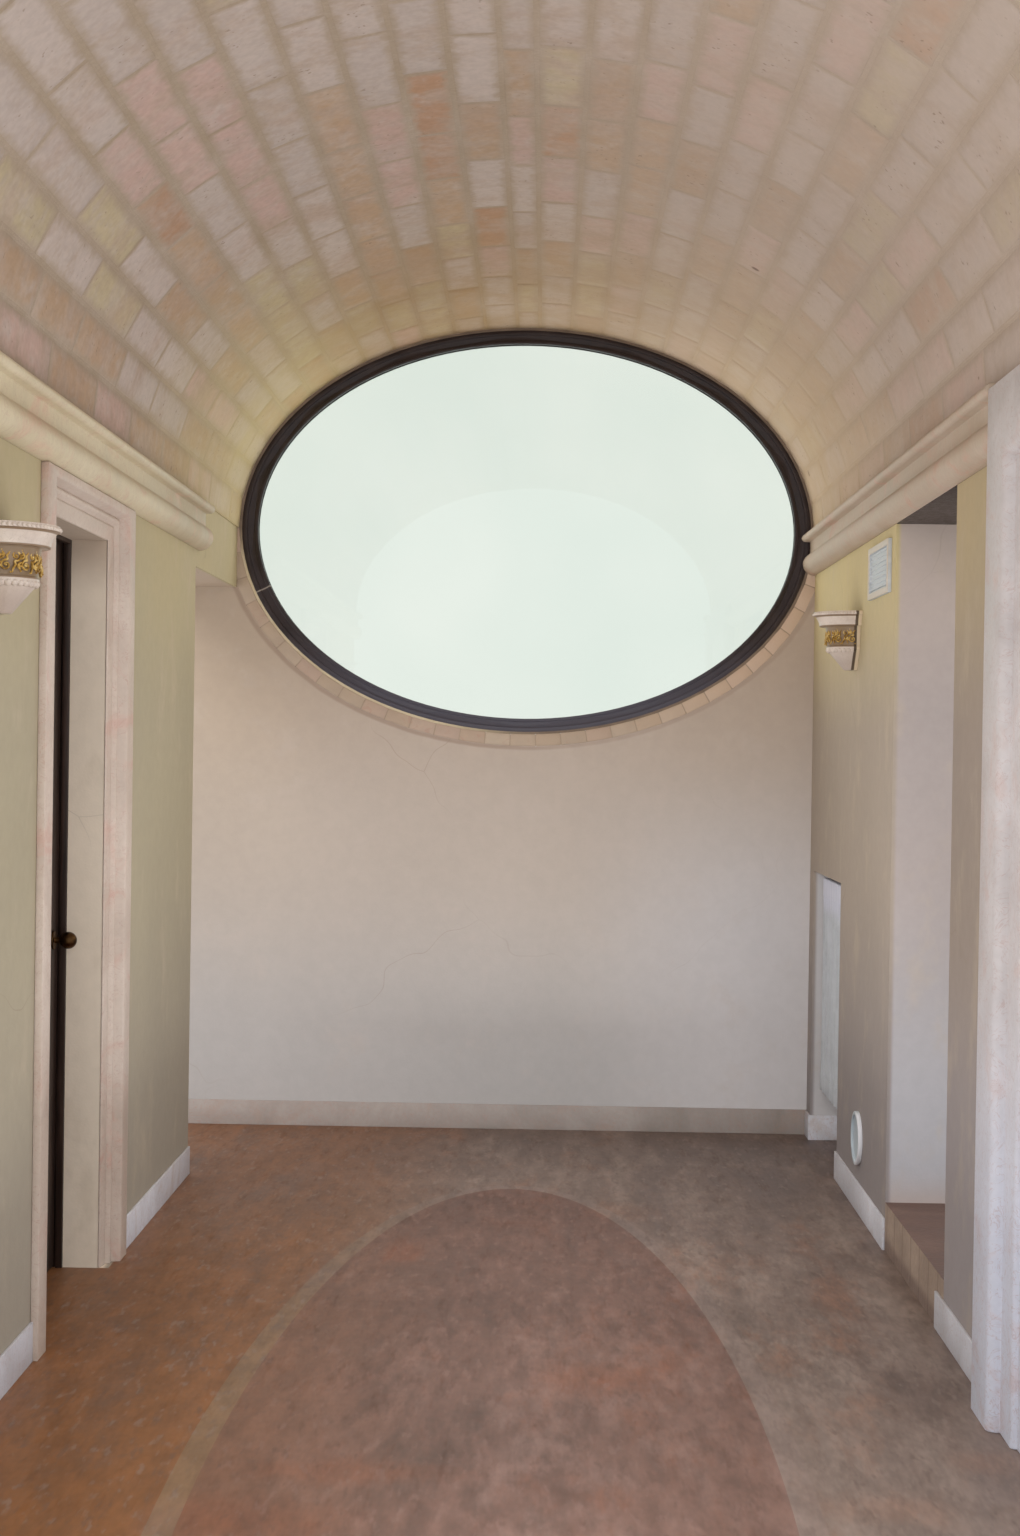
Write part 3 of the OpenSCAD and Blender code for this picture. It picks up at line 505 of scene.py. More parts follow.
def polished_floor(name, dark, middle, pale, blotch, warm, patches, far):
    """Hand-finished floor: mottled, warmer on the left, darker along the right wall's foot."""
    f = Finish(name)
    long = f.stretched(1.0, 0.32, 1.0)
    cloudy = f.noise(patches, 9.0, 0.74, long)
    body = f.ramp(cloudy, [(0.32, dark), (0.5, middle), (0.68, pale)])
    rusty = f.noise(3.4, 7.0, 0.72, long)
    body = f.tint(body, blotch, rusty, 0.53, 0.68, 0.5)
    dust = f.noise(6.0, 9.0, 0.8, long)
    body = f.tint(body, pale, dust, 0.5, 0.7, 0.7)
    body = f.tint(body, warm, f.x, -0.05, -0.7, 0.82)
    edge = f.times(f.noise(9.0, 6.0, 0.66, long), 1.1)
    for (x, y), wide, deep, strength in FLOOR_BLOTCHES:
        at = f.add("ShaderNodeMapping", {"Vector": f.place, "Scale": (1.0 / wide, 1.0 / deep, 0.0),
                                         "Location": (-x / wide, -(y + TO_FRAME.y) / deep, 0.0)})
        reach = f.sum(f.vector("LENGTH", at.outputs[0]), edge)
        body = f.tint(body, blotch, reach, 1.45, 0.75, strength)
    grime = f.noise(5.0, 8.0, 0.74, long)
    body = f.tint(body, dark, grime, 0.5, 0.7, 0.4)
    foot = f.times(f.span(f.x, 0.55, 1.1, 0.12, 0.75), f.span(grime, 0.42, 0.66))
    body = f.mix(foot, body, dark)
    body = f.tint(body, dark, f.y, -0.8, 1.3, far)
    worn_path = f.times(f.span(f.y, -0.6, -1.6, 0.0, 0.4), f.span(f.x, 0.35, 0.8))
    body = f.mix(worn_path, body, pale)
    grain = f.stretched(1.0, 0.28, 1.0)
    body = f.shade(body, f.noise(22.0, 8.0, 0.8, grain), 0.80, 1.19)
    body = f.tint(body, dark, f.noise(36.0, 6.0, 0.75, grain), 0.56, 0.74, 0.45)
    body = f.tint(body, pale, f.noise(45.0, 5.0, 0.75, grain), 0.57, 0.74, 0.45)
    scuffs = f.noise(30.0, 6.0, 0.7, f.stretched(1.0, 0.2, 1.0))
    rough = f.sum(f.span(cloudy, 0.25, 0.75, 0.36, 0.54), f.span(scuffs, 0.5, 0.8, 0.0, 0.12))
    height = f.sum(f.noise(9.0, 2.0, 0.6), f.times(scuffs, 0.3))
    return f.close(body, rough, height, 0.0012)


def slab():
    f = Finish("rough_cast_slab")
    body = f.tones(f.noise(6.0, 6.0), (128, 120, 108), (160, 152, 138))
    grit = f.noise(80.0, 4.0, 0.7)
    return f.close(body, f.span(grit, 0.2, 0.8, 0.8, 0.95), grit, 0.003)


def frame_paint():
    """Dark brown satin paint with a little dust."""
    f = Finish("dark_brown_frame_paint")
    dust = f.noise(9.0, 6.0, 0.7)
    body = f.ramp(dust, [(0.35, (38, 29, 31)), (0.65, (54, 44, 45)), (0.85, (74, 64, 60))])
    sill = SPRING + TO_FRAME.z - RISE
    # Painted highlight: the lower part of the frame is taken towards a bluish grey.
    body = f.tint(body, (88, 87, 100), f.z, sill + 0.45, sill + 0.1, 0.55)
    along = Vector((-OVAL_W * math.sin(WELD_TURN), 0.0, RISE * math.cos(WELD_TURN))).normalized()
    off = f.vector("SUBTRACT", f.place, tuple(put_in_frame(soffit(WELD_TURN))))
    line = f.span(f.size(f.vector("DOT_PRODUCT", off, tuple(along))), 0.0018, 0.0035, 0.85, 0.0)
    line = f.times(line, f.span(f.vector("LENGTH", off), 0.12, 0.10))
    body = f.mix(line, body, (150, 140, 130))
    brush = f.noise(60.0, 4.0, 0.6)
    return f.close(body, f.span(dust, 0.3, 0.8, 0.34, 0.55), brush, 0.0006, Specular_IOR_Level=0.45)


def clear_glass():
    f = Finish("clear_double_glazing")
    waver = f.noise(1.2, 2.0)
    smear = f.span(f.noise(5.0, 5.0, 0.7), 0.55, 0.85, 0.0, 0.05)
    body = f.tones(waver, (0.76, 0.84, 0.77, 1.0), (0.82, 0.88, 0.81, 1.0))
    return f.close(body, smear, waver, 0.0002, IOR=1.45, Transmission_Weight=1.0)


def dark_wood():
    """Dark stained wood with the grain along the height."""
    f = Finish("dark_stained_wood")
    along = f.stretched(14.0, 14.0, 0.9)
    grain = f.noise(4.0, 6.0, 0.6, along, 0.8)
    body = f.ramp(grain, [(0.3, (26, 18, 15)), (0.55, (46, 32, 26)), (0.8, (66, 46, 36))])
    pores = f.noise(30.0, 4.0, 0.7, along)
    height = f.sum(grain, f.times(pores, 0.4))
    return f.close(body, f.span(grain, 0.3, 0.8, 0.38, 0.58), height, 0.0008)


def bronze():
    f = Finish("aged_bronze")
    patina = f.noise(60.0, 5.0, 0.65)
    body = f.ramp(patina, [(0.3, (64, 46, 32)), (0.6, (104, 78, 50)), (0.8, (142, 112, 72))])
    return f.close(body, (patina, 0.32, 0.5), patina, 0.0004, Metallic=1.0)


def step_tile():
    """Fired clay on the tread; the riser keeps the wall's ochre and is darker at its foot."""
    f = Finish("fired_clay_step")
    cloudy = f.noise(7.0, 7.0, 0.7)
    tread = f.ramp(cloudy, [(0.3, (90, 66, 56)), (0.5, (107, 82, 72)), (0.75, (126, 101, 90))])
    riser = f.tones(cloudy, (140, 121, 107), (169, 148, 131))
    riser = f.tint(riser, (117, 97, 88), f.z, TO_FRAME.z + 0.06, TO_FRAME.z + 0.025, 0.8)
    riser = f.tint(riser, (104, 84, 74), f.off_middle(f.y, STEP_TILE_W), 0.455, 0.48, 0.6)
    up = f.parts(f.add("ShaderNodeNewGeometry").outputs["Normal"])[2]
    body = f.tint(riser, tread, up, 0.4, 0.8)
    body = f.shade(body, f.noise(40.0, 6.0, 0.7), 0.93, 1.05)
    return f.close(body, (cloudy, 0.5, 0.75), f.noise(60.0, 5.0), 0.0012)


def vent_enamel():
    """Painted over with the wall; the rim is whiter on its near side."""
    f = Finish("overpainted_vent_enamel")
    dust = f.noise(20.0, 6.0, 0.65)
    body = f.tones(dust, (164, 173, 179), (177, 187, 192))
    off = f.vector("SUBTRACT", f.place, (0.0, VENT_Y, VENT_Z))
    reach = f.vector("LENGTH", f.vector("MULTIPLY", off, (0.0, 1.0, 1.0)))
    rim = f.times(f.span(reach, 0.071, 0.076), f.span(f.y, VENT_Y + 0.03, VENT_Y - 0.04))
    body = f.mix(rim, body, (216, 215, 218))
    return f.close(body, (dust, 0.35, 0.6), f.noise(90.0, 3.0), 0.0004)


def radiator_enamel():
    """Grey-white enamel, with painted shade between the columns and paler tops."""
    f = Finish("grey_white_radiator_enamel")
    dust = f.noise(12.0, 6.0, 0.65)
    body = f.ramp(dust, [(0.3, (168, 169, 172)), (0.6, (182, 184, 187)), (0.8, (190, 191, 195))])
    body = f.tint(body, (193, 192, 202), f.z, 1.04, 1.12)
    # Painted shade: dark stripes between the columns, one column pitch apart.
    first = TO_FRAME.y - NICHE_NEAR + RADIATOR_GAP
    between = f.off_middle(f.sum(f.y, -first), COLUMN_PITCH)
    body = f.tint(body, (84, 83, 88), between, 0.22, 0.42, 0.9)
    return f.close(body, (dust, 0.35, 0.5), f.noise(90.0, 3.0), 0.0004)


def grille_enamel():
    """White frame round a bluish panel."""
    f = Finish("blue_white_grille_enamel")
    dust = f.noise(30.0, 5.0, 0.65)
    frame_white = f.tones(dust, (183, 169, 153), (200, 186, 171))
    panel = f.tones(dust, (176, 179, 182), (192, 195, 198))
    far_in = f.sum(f.size(f.x), -HALF_W + GRILLE_T)
    body = f.tint(frame_white, panel, far_in, 0.0015, 0.003)
    return f.close(body, (dust, 0.3, 0.45), f.noise(90.0, 3.0), 0.0003)


def lamp_ceramic():
    """Cream glazed ceramic with brown lines, by height on the bowl."""
    f = Finish("cream_lamp_ceramic")
    cloud = f.noise(18.0, 6.0, 0.66)
    body = f.ramp(cloud, [(0.3, (188, 172, 160)), (0.6, (202, 187, 174)), (0.8, (210, 197, 184))])
    base = TO_FRAME.z + LAMP_TOP - LAMP_H
    for low, high in BROWN_LINES:
        line = f.band(f.z, base + low, base + high, 0.0015, 0.85)
        body = f.mix(line, body, (108, 80, 46))
    ground = f.band(f.z, base + BAND_LOW, base + BAND_HIGH, 0.001, 0.85)
    body = f.mix(ground, body, (112, 84, 44))
    body = f.tint(body, (172, 155, 143), f.z, base + 0.085, base + 0.02, 0.9)
    crackle = f.cells(90.0, "DISTANCE_TO_EDGE")
    body = f.tint(body, (140, 120, 104), crackle, 0.03, 0.0, 0.3)
    side = f.size(f.x)
    face = HALF_W - LAMP_PLATE
    body = f.tint(body, (200, 180, 152), side, face - 0.001, face + 0.001)
    # Painted shadow: a dark line where the bowl meets its back plate.
    painted_contact_shadow = f.size(f.sum(side, -face + 0.001))
    body = f.tint(body, (70, 54, 40), painted_contact_shadow, 0.006, 0.004, 0.95)
    return f.close(body, (cloud, 0.28, 0.45), cloud, 0.0006, Coat_Weight=0.25)


def old_gilding():
    """Rubbed gold leaf over a brown ground."""
    f = Finish("rubbed_gold_leaf")
    worn = f.noise(90.0, 5.0, 0.7)
    body = f.ramp(worn, [(0.3, (132, 98, 42)), (0.5, (186, 146, 70)),
                         (0.7, (222, 194, 128)), (0.85, (232, 214, 168))])
    return f.close(body, (worn, 0.3, 0.55), worn, 0.0006, Metallic=0.35)


# ---- Meshes ----

def new_object(name, data):
    """An object at the origin, in the scene."""
    thing = bpy.data.objects.new(name, data)
    bpy.context.scene.collection.objects.link(thing)
    return thing


def new_piece(name, mesh, material, slot, body=HALL):
    piece = new_object(name, mesh)
    mesh.materials.clear()
    mesh.materials.append(material)
    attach(piece, body)
    return piece


def smooth_by_angle(mesh, degrees=SMOOTH_TURN):
    """Shades smoothly, and keeps a sharp line where two faces turn by more than the angle."""
    mesh.shade_smooth()
    bm = bmesh.new()
    bm.from_mesh(mesh)
    limit = math.radians(degrees)
    for edge in bm.edges:
        edge.smooth = len(edge.link_faces) == 2 and edge.calc_face_angle(0.0) < limit
    bm.to_mesh(mesh)
    bm.free()


def mesh_of(bm, name):
    """The finished mesh of a bmesh, which is then freed."""
    mesh = bpy.data.meshes.new(name)
    bm.to_mesh(mesh)
    bm.free()
    return mesh


def baked(work, name):
    """The evaluated mesh of a working object, which is then removed."""
    bpy.context.view_layer.update()
    mesh = bpy.data.meshes.new_from_object(
        work.evaluated_get(bpy.context.evaluated_depsgraph_get()))
    mesh.name = name
    bpy.data.objects.remove(work)
    return mesh


def round_arrises(work, width):
    bevel = work.modifiers.new("arris", "BEVEL")
    bevel.width = width
    bevel.segments = 2
    bevel.limit_method = "ANGLE"
    bevel.angle_limit = math.radians(ARRIS_TURN)
    bevel.use_clamp_overlap = True


def worn_copy(node, name, width, material, slot, body=HALL, tones=None):
    """Stands for a CAD node: the same shape, welded, with rounded arrises.

    With tones, a random source, each loose stone in it gets a tone of its own.
    """
    bm = bmesh.new()
    bm.from_mesh(NODES[node].data)
    bmesh.ops.remove_doubles(bm, verts=bm.verts, dist=SAME_CORNER)
    bmesh.ops.dissolve_limit(bm, angle_limit=math.radians(FLAT_TURN), verts=bm.verts,
                              edges=bm.edges)
    bmesh.ops.recalc_face_normals(bm, faces=bm.faces)
    if tones is not None:
        layer = bm.faces.layers.float.new("tone")
        for island in islands(bm):
            tone = tones.random()
            for face in island:
                face[layer] = tone
    work = new_object("work", mesh_of(bm, name))
    round_arrises(work, width)
    mesh = baked(work, name)
    smooth_by_angle(mesh)
    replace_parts(new_piece(name, mesh, material, slot, body), node)


def islands(bm):
    """The groups of faces that hang together, in the order of their first face."""
    seen = set()
    for start in bm.faces:
        group, front = [], [start]
        while front:
            face = front.pop()
            if face.index not in seen:
                seen.add(face.index)
                group.append(face)
                front.extend(other for edge in face.edges for other in edge.link_faces)
        if group:
            yield group


def oval_band(name, section, steps=240):
    """A band at an even distance outside the oval: each section point is (distance, depth)."""
    bm = bmesh.new()
    rings = []
    for i in range(steps):
        t = math.tau * i / steps
        out = Vector((math.cos(t) / OVAL_W, 0.0, math.sin(t) / RISE)).normalized()
        rings.append([bm.verts.new(put_in_frame(
            soffit(t) + distance * out + Vector((0.0, depth, 0.0))))
            for distance, depth in section])
    for i, a in enumerate(rings):
        b = rings[(i + 1) % steps]
        for j in range(len(section)):
            k = (j + 1) % len(section)
            bm.faces.new((a[j], a[k], b[k], b[j]))
    bmesh.ops.recalc_face_normals(bm, faces=bm.faces)
    return mesh_of(bm, name)


# ---- Vault ----

def soffit(t):
    return Vector((OVAL_W * math.cos(t), 0.0, SPRING + RISE * math.sin(t)))


def course_joints():
    """Angles of the joints between courses, at equal lengths along the oval soffit."""
    steps = 720
    lengths = [0.0]
    for i in range(steps):
        step = soffit(math.pi * (i + 1) / steps) - soffit(math.pi * i / steps)
        lengths.append(lengths[-1] + step.length)
    course = (lengths[-1] - KEY_W) / (COURSES - 1)
    middle = (COURSES - 1) // 2
    joints = []
    for i in range(COURSES + 1):
        target = i * course + (KEY_W - course if i > middle else 0.0)
        j = next((k for k in range(steps) if lengths[k + 1] >= target), steps - 1)
        share = (target - lengths[j]) / (lengths[j + 1] - lengths[j])
        joints.append(math.pi * (j + share) / steps)
    return joints


GREY, PINK, TAN, RUST, OCHRE = 0.1, 0.3, 0.5, 0.7, 0.9
# Blocks that stand out, by kind: course from the right springing, distance from the end wall
MARKED = {
    PINK: [(0, 1.75), (0, 2.80), (1, 2.55), (2, 1.70), (3, 2.35), (3, 2.90), (6, 1.85), (8, 3.38),
        (9, 1.82), (10, 1.55), (11, 2.28), (15, 2.50), (18, 3.45), (19, 3.10), (22, 1.60)],
    RUST: [(0, 2.35), (2, 2.80), (13, 1.70), (14, 2.75), (20, 2.85)],
    TAN: [(1, 1.80), (2, 1.15), (3, 1.35), (4, 1.30), (6, 1.25), (7, 1.65), (9, 1.15), (9, 2.40),
        (10, 0.30), (11, 1.20), (12, 1.10), (14, 0.60), (14, 2.05), (15, 1.18), (16, 1.65),
        (17, 1.20), (18, 0.80), (20, 2.22), (21, 1.00), (21, 2.07), (24, 2.17)],
    OCHRE: [(5, 1.05), (8, 1.10), (10, 0.90), (14, 1.42), (15, 0.17), (15, 0.62), (16, 0.70)],
    GREY: [(11, 1.73), (13, 2.25), (15, 3.12)],
}
BLOCK_L = 0.50
BLOCK_JOINT = 0.013
PROUD = 0.0010
SLIP_T = 0.030


def block_runs(rng, course):
    """The lengths of one course's blocks, from the end wall to the open front."""
    at = -0.001
    first = BLOCK_L * (0.98 if course % 2 else 0.62) + rng.uniform(-0.05, 0.05)
    length = first
    while True:
        end = at - length
        if end < -BAY_L + 0.22:
            yield at, -BAY_L - 0.002
            return
        yield at, end
        at = end
        length = BLOCK_L + rng.uniform(-0.06, 0.05)


def kind_of(rng, course, middle):
    for kind, places in MARKED.items():
        if any(row == course and abs(middle + at) < BLOCK_L / 2 for row, at in places):
            return kind
    return rng.choices([GREY, PINK, TAN, RUST, OCHRE], [60, 12, 16, 3, 9])[0]


def block_points():
    """One point for each vault block, with its size, turn, tone and kind."""
    rng = random.Random(11)
    joints = course_joints()
    for course in range(COURSES):
        a, b = soffit(joints[course]), soffit(joints[course + 1])
        across = b - a
        turn = math.atan2(-across.z, across.x)
        out = Vector((across.z, 0.0, -across.x)).normalized()
        for near, far in block_runs(rng, course):
            front = far < -BAY_L
            depth = VAULT_T if front else SLIP_T
            middle = (near + far) / 2
            centre = (a + b) / 2 + out * (depth / 2 - PROUD) + Vector((0.0, middle, 0.0))
            cut = BLOCK_JOINT
            if front:
                centre.y -= BLOCK_JOINT / 4
                cut /= 2
            size = (across.length - BLOCK_JOINT, near - far - cut, depth)
            yield (tuple(put_in_frame(centre)), size, (0.0, turn, 0.0), rng.random(),
                   kind_of(rng, course, middle))


def new_tree(name, inputs, result):
    """A Geometry Nodes tree to fill, its input sockets by name, and what they give inside."""
    g = Nodes(bpy.data.node_groups.new(name, "GeometryNodeTree"))
    new_socket = g.tree.interface.new_socket
    sockets = {key: new_socket(key, in_out="INPUT", socket_type="NodeSocket" + kind)
               for key, kind in inputs.items()}
    new_socket(result, in_out="OUTPUT", socket_type="NodeSocketGeometry")
    return g, sockets, g.add("NodeGroupInput").outputs


def grow(work, tree, sockets, values):
    """Runs a tree on a working object, with its inputs set by the sockets' identifiers."""
    modifier = work.modifiers.new("grow", "NODES")
    modifier.node_group = tree
    for key, value in values.items():
        modifier[sockets[key].identifier] = value


def end_tree(g, geometry, material):
    """Sets the material and hands the geometry out."""
    done = g.out("GeometryNodeSetMaterial", {"Geometry": geometry, "Material": material})
    g.add("NodeGroupOutput", {0: done})


def block_tree(material):
    """Lays a block on each point and gives its edges a hand-cut waver."""
    g, sockets, given = new_tree("lay_blocks", {
        "Points": "Geometry", "Waver": "Float", "Waver scale": "Float", "Seed": "Float"}, "Blocks")

    def named(name, kind="FLOAT_VECTOR"):
        return g.out("GeometryNodeInputNamedAttribute", {"Name": name}, data_type=kind)

    def store(geometry, name, value, kind="FLOAT_VECTOR", domain="POINT"):
        return g.out("GeometryNodeStoreNamedAttribute", {
            "Geometry": geometry, "Name": name, "Value": value}, data_type=kind, domain=domain)

    place = g.out("GeometryNodeInputPosition")
    block = g.out("GeometryNodeMeshCube", {
        "Size": (1.0, 1.0, 1.0), "Vertices X": 3, "Vertices Y": 9, "Vertices Z": 2})
    laid = g.out("GeometryNodeInstanceOnPoints", {
        "Points": given["Points"], "Instance": store(block, "local", place),
        "Rotation": g.out("FunctionNodeEulerToRotation", {0: named("turn")}),
        "Scale": named("size")})
    real = g.out("GeometryNodeRealizeInstances", {0: laid})
    inward = g.vector("SUBTRACT", (0.5, 0.5, 0.5), g.vector("ABSOLUTE", named("local")))
    real = store(real, "edge", g.vector("MULTIPLY", inward, named("size")))
    shift = g.sum(g.times(named("tone", "FLOAT"), 37.0), given["Seed"])
    noise = g.add("ShaderNodeTexNoise", {
        "Vector": g.vector("ADD", place, shift), "Scale": given["Waver scale"], "Detail": 2.0})
    centred = g.vector("SUBTRACT", noise.outputs["Color"], (0.5, 0.5, 0.5))
    last = g.out("GeometryNodeSetPosition", {
        "Geometry": real, "Offset": g.vector("MULTIPLY", centred, given["Waver"])})
    for name in ("tone", "kind"):
        last = store(last, name + "_face", named(name, "FLOAT"), "FLOAT", "FACE")
    end_tree(g, last, material)
    return g.tree, sockets


def add_vault_blocks(material):
    points, sizes, turns, tones, kinds = zip(*block_points())
    mesh = bpy.data.meshes.new("block_points")
    mesh.from_pydata(points, [], [])
    for name, values in (("size", sizes), ("turn", turns)):
        layer = mesh.attributes.new(name, "FLOAT_VECTOR", "POINT")
        layer.data.foreach_set("vector", [v for row in values for v in row])
    for name, values in (("tone", tones), ("kind", kinds)):
        mesh.attributes.new(name, "FLOAT", "POINT").data.foreach_set("value", values)
    work = new_object("work", mesh)
    grow(work, *block_tree(material), {"Waver": 0.0032, "Waver scale": 5.0, "Seed": 5.0})
    round_arrises(work, 0.003)
    mesh = baked(work, "vault_blocks")
    for name in ("tone", "kind"):
        mesh.attributes.remove(mesh.attributes[name])
        mesh.attributes[name + "_face"].name = name
    smooth_by_angle(mesh)
    new_piece("vault_blocks", mesh, material, "vault_stone")


# ---- Lamp ornament ----

def tube(bm, path, radii, sides=6):
    """A closed round bar through the points of a path in the XZ plane."""
    rings = []
    for i, (point, radius) in enumerate(zip(path, radii)):
        before, after = path[max(i - 1, 0)], path[min(i + 1, len(path) - 1)]
        along = (after - before).normalized()
        across = Vector((0.0, 1.0, 0.0)).cross(along).normalized()
        ring = []
        for k in range(sides):
            a = math.tau * k / sides
            offset = across * math.cos(a) + Vector((0.0, 1.0, 0.0)) * math.sin(a)
            ring.append(bm.verts.new(point + offset * radius))
        rings.append(ring)
    for a, b in zip(rings, rings[1:]):
        for k in range(sides):
            m = (k + 1) % sides
            bm.faces.new((a[k], a[m], b[m], b[k]))
    bm.faces.new(rings[0])
    bm.faces.new(list(reversed(rings[-1])))


def spiral(centre, start, turns, outer, inner, steps=22):
    path = []
    for i in range(steps):
        share = i / (steps - 1)
        a = start + turns * math.tau * share
        r = outer + (inner - outer) * share
        path.append(Vector((centre[0] + r * math.cos(a), 0.0, centre[1] + r * math.sin(a))))
    return path


def foliage_motif():
    """One turn of the running scroll: a volute with a bud, a leaf spray and two berries."""
    bm = bmesh.new()
    volute = spiral((0.0, 0.011), -1.9, 1.35, 0.0125, 0.003)
    tube(bm, volute, [0.0032 - 0.0016 * i / 21 for i in range(22)])
    stem = ((-0.011, -0.028), (-0.008, -0.019), (-0.002, -0.010), (-0.004, -0.001))
    tube(bm, [Vector((x, 0.0, z)) for x, z in stem], [0.0018, 0.0026, 0.0032, 0.0030])
    root = Vector((0.002, 0.0, -0.012))
    for lean, length in ((-1.0, 0.015), (-0.2, 0.017), (0.65, 0.015)):
        tip = root + Vector((math.cos(lean) * length, 0.0, math.sin(lean) * length))
        middle = (root + tip) / 2 + Vector((0.0, -0.0015, 0.002))
        tube(bm, [root, middle, tip], [0.0022, 0.0030, 0.0008])
    for x, z, r in ((0.0, 0.011, 0.0036), (0.009, -0.024, 0.0030), (-0.010, 0.027, 0.0026)):
        bmesh.ops.create_icosphere(bm, subdivisions=1, radius=r,
                                   matrix=Matrix.Translation((x, -0.001, z)))
    bmesh.ops.recalc_face_normals(bm, faces=bm.faces)
    return mesh_of(bm, "foliage_motif")


def bead_motif(radius, flat=1.0):
    bm = bmesh.new()
    bmesh.ops.create_icosphere(bm, subdivisions=2, radius=radius,
                               matrix=Matrix.Diagonal((1.0, flat, 1.0, 1.0)))
    return mesh_of(bm, "bead_motif")


def half_round_tree(material):
    """Sets a motif at even steps round a half circle that stands out from a wall.

    The wall is the XZ plane and the half circle bulges towards -Y. With Flip at 1, every
    other motif is turned upside down.
    """
    g, sockets, given = new_tree("set_half_round", {
        "Motif": "Geometry", "Count": "Int", "Radius": "Float", "Height": "Float",
        "Lean": "Float", "Flip": "Float"}, "Row")

    def rotation(**angles):
        turned = g.out("ShaderNodeCombineXYZ", angles)
        return g.out("FunctionNodeEulerToRotation", {0: turned})

    index = g.out("GeometryNodeInputIndex")
    share = g.math("DIVIDE", g.sum(index, 0.5), given["Count"])
    angle = g.sum(g.times(share, math.pi), math.pi)
    place = g.out("ShaderNodeCombineXYZ", {
        0: g.times(g.math("COSINE", angle), given["Radius"]),
        1: g.times(g.math("SINE", angle), given["Radius"]), 2: given["Height"]})
    points = g.out("GeometryNodePoints", {"Count": given["Count"], "Position": place})
    over = g.times(g.times(g.math("MODULO", index, 2.0), given["Flip"]), math.pi)
    facing = rotation(X=given["Lean"], Z=g.sum(angle, math.pi / 2))
    both = g.out("FunctionNodeRotateRotation", {0: facing, 1: rotation(Y=over)},
                 rotation_space="LOCAL")
    laid = g.out("GeometryNodeInstanceOnPoints", {
        "Points": points, "Instance": given["Motif"], "Rotation": both})
    end_tree(g, g.out("GeometryNodeRealizeInstances", {0: laid}), material)
    return g.tree, sockets


def half_round_row(name, motif, material, side, place_y, **values):
    """A row of motifs round one lamp bowl, as a piece of the hall."""
    work = new_object("work", motif)
    grow(work, *half_round_tree(material), values)
    mesh = baked(work, name)
    wall = Matrix.Rotation(-side * math.pi / 2, 4, "Z")
    foot = put_in_frame((side * (HALF_W - LAMP_PLATE), place_y, LAMP_TOP - LAMP_H))
    mesh.transform(Matrix.Translation(foot) @ wall)
    smooth_by_angle(mesh, 60.0)
    new_piece(name, mesh, material, "lamp_ceramic")


def add_lamp_ornament(name, side, place_y, glaze, gold):
    half_round_row(name + "_beads", bead_motif(0.0052), glaze, side, place_y,
                   Count=37, Radius=LAMP_R - 0.001, Height=0.1925, Lean=0.0, Flip=0.0)
    half_round_row(name + "_foliage", foliage_motif(), gold, side, place_y,
                   Count=12, Radius=0.0905, Height=0.1155, Lean=-0.12, Flip=1.0)
    half_round_row(name + "_scallops", bead_motif(0.0085, 0.5), glaze, side, place_y,
                   Count=17, Radius=0.0845, Height=0.066, Lean=0.6, Flip=0.0)


# ---- Light, camera and stage ----

def add_camera():
    """The photograph's camera, solved from the lines of the hall."""
    data = bpy.data.cameras.new("camera")
    data.sensor_width = 36.0
    data.lens = CAMERA_LENS
    data.clip_start = 0.05
    data.clip_end = 200.0
    camera = new_object("camera", data)
    turn = (Matrix.Rotation(CAMERA_YAW, 4, "Z") @ Matrix.Rotation(CAMERA_PITCH, 4, "X")
            @ Matrix.Rotation(CAMERA_ROLL, 4, "Y") @ Matrix.Rotation(math.radians(90.0), 4, "X"))
    camera.matrix_world = Matrix.Translation(put_in_frame(CAMERA_AT)) @ turn
    bpy.context.scene.camera = camera


def add_lamp(name, kind, place, power, colour, aim=None, size=None, radius=None):
    """A lamp that lights the hall and is never seen."""
    data = bpy.data.lights.new(name, kind)
    data.energy = power
    data.color = colour
    lamp = new_object(name, data)
    lamp.location = put_in_frame(place)
    if aim:
        lamp.rotation_euler = (Vector(aim) - Vector(place)).to_track_quat("-Z", "Y").to_euler()
    if kind == "AREA":
        data.shape = "RECTANGLE"
        data.size, data.size_y = size
    elif kind == "SUN":
        data.angle = math.radians(40.0)
    else:
        data.shadow_soft_size = radius
    for rays in ("camera", "glossy", "transmission"):
        setattr(lamp, "visible_" + rays, False)
    return lamp


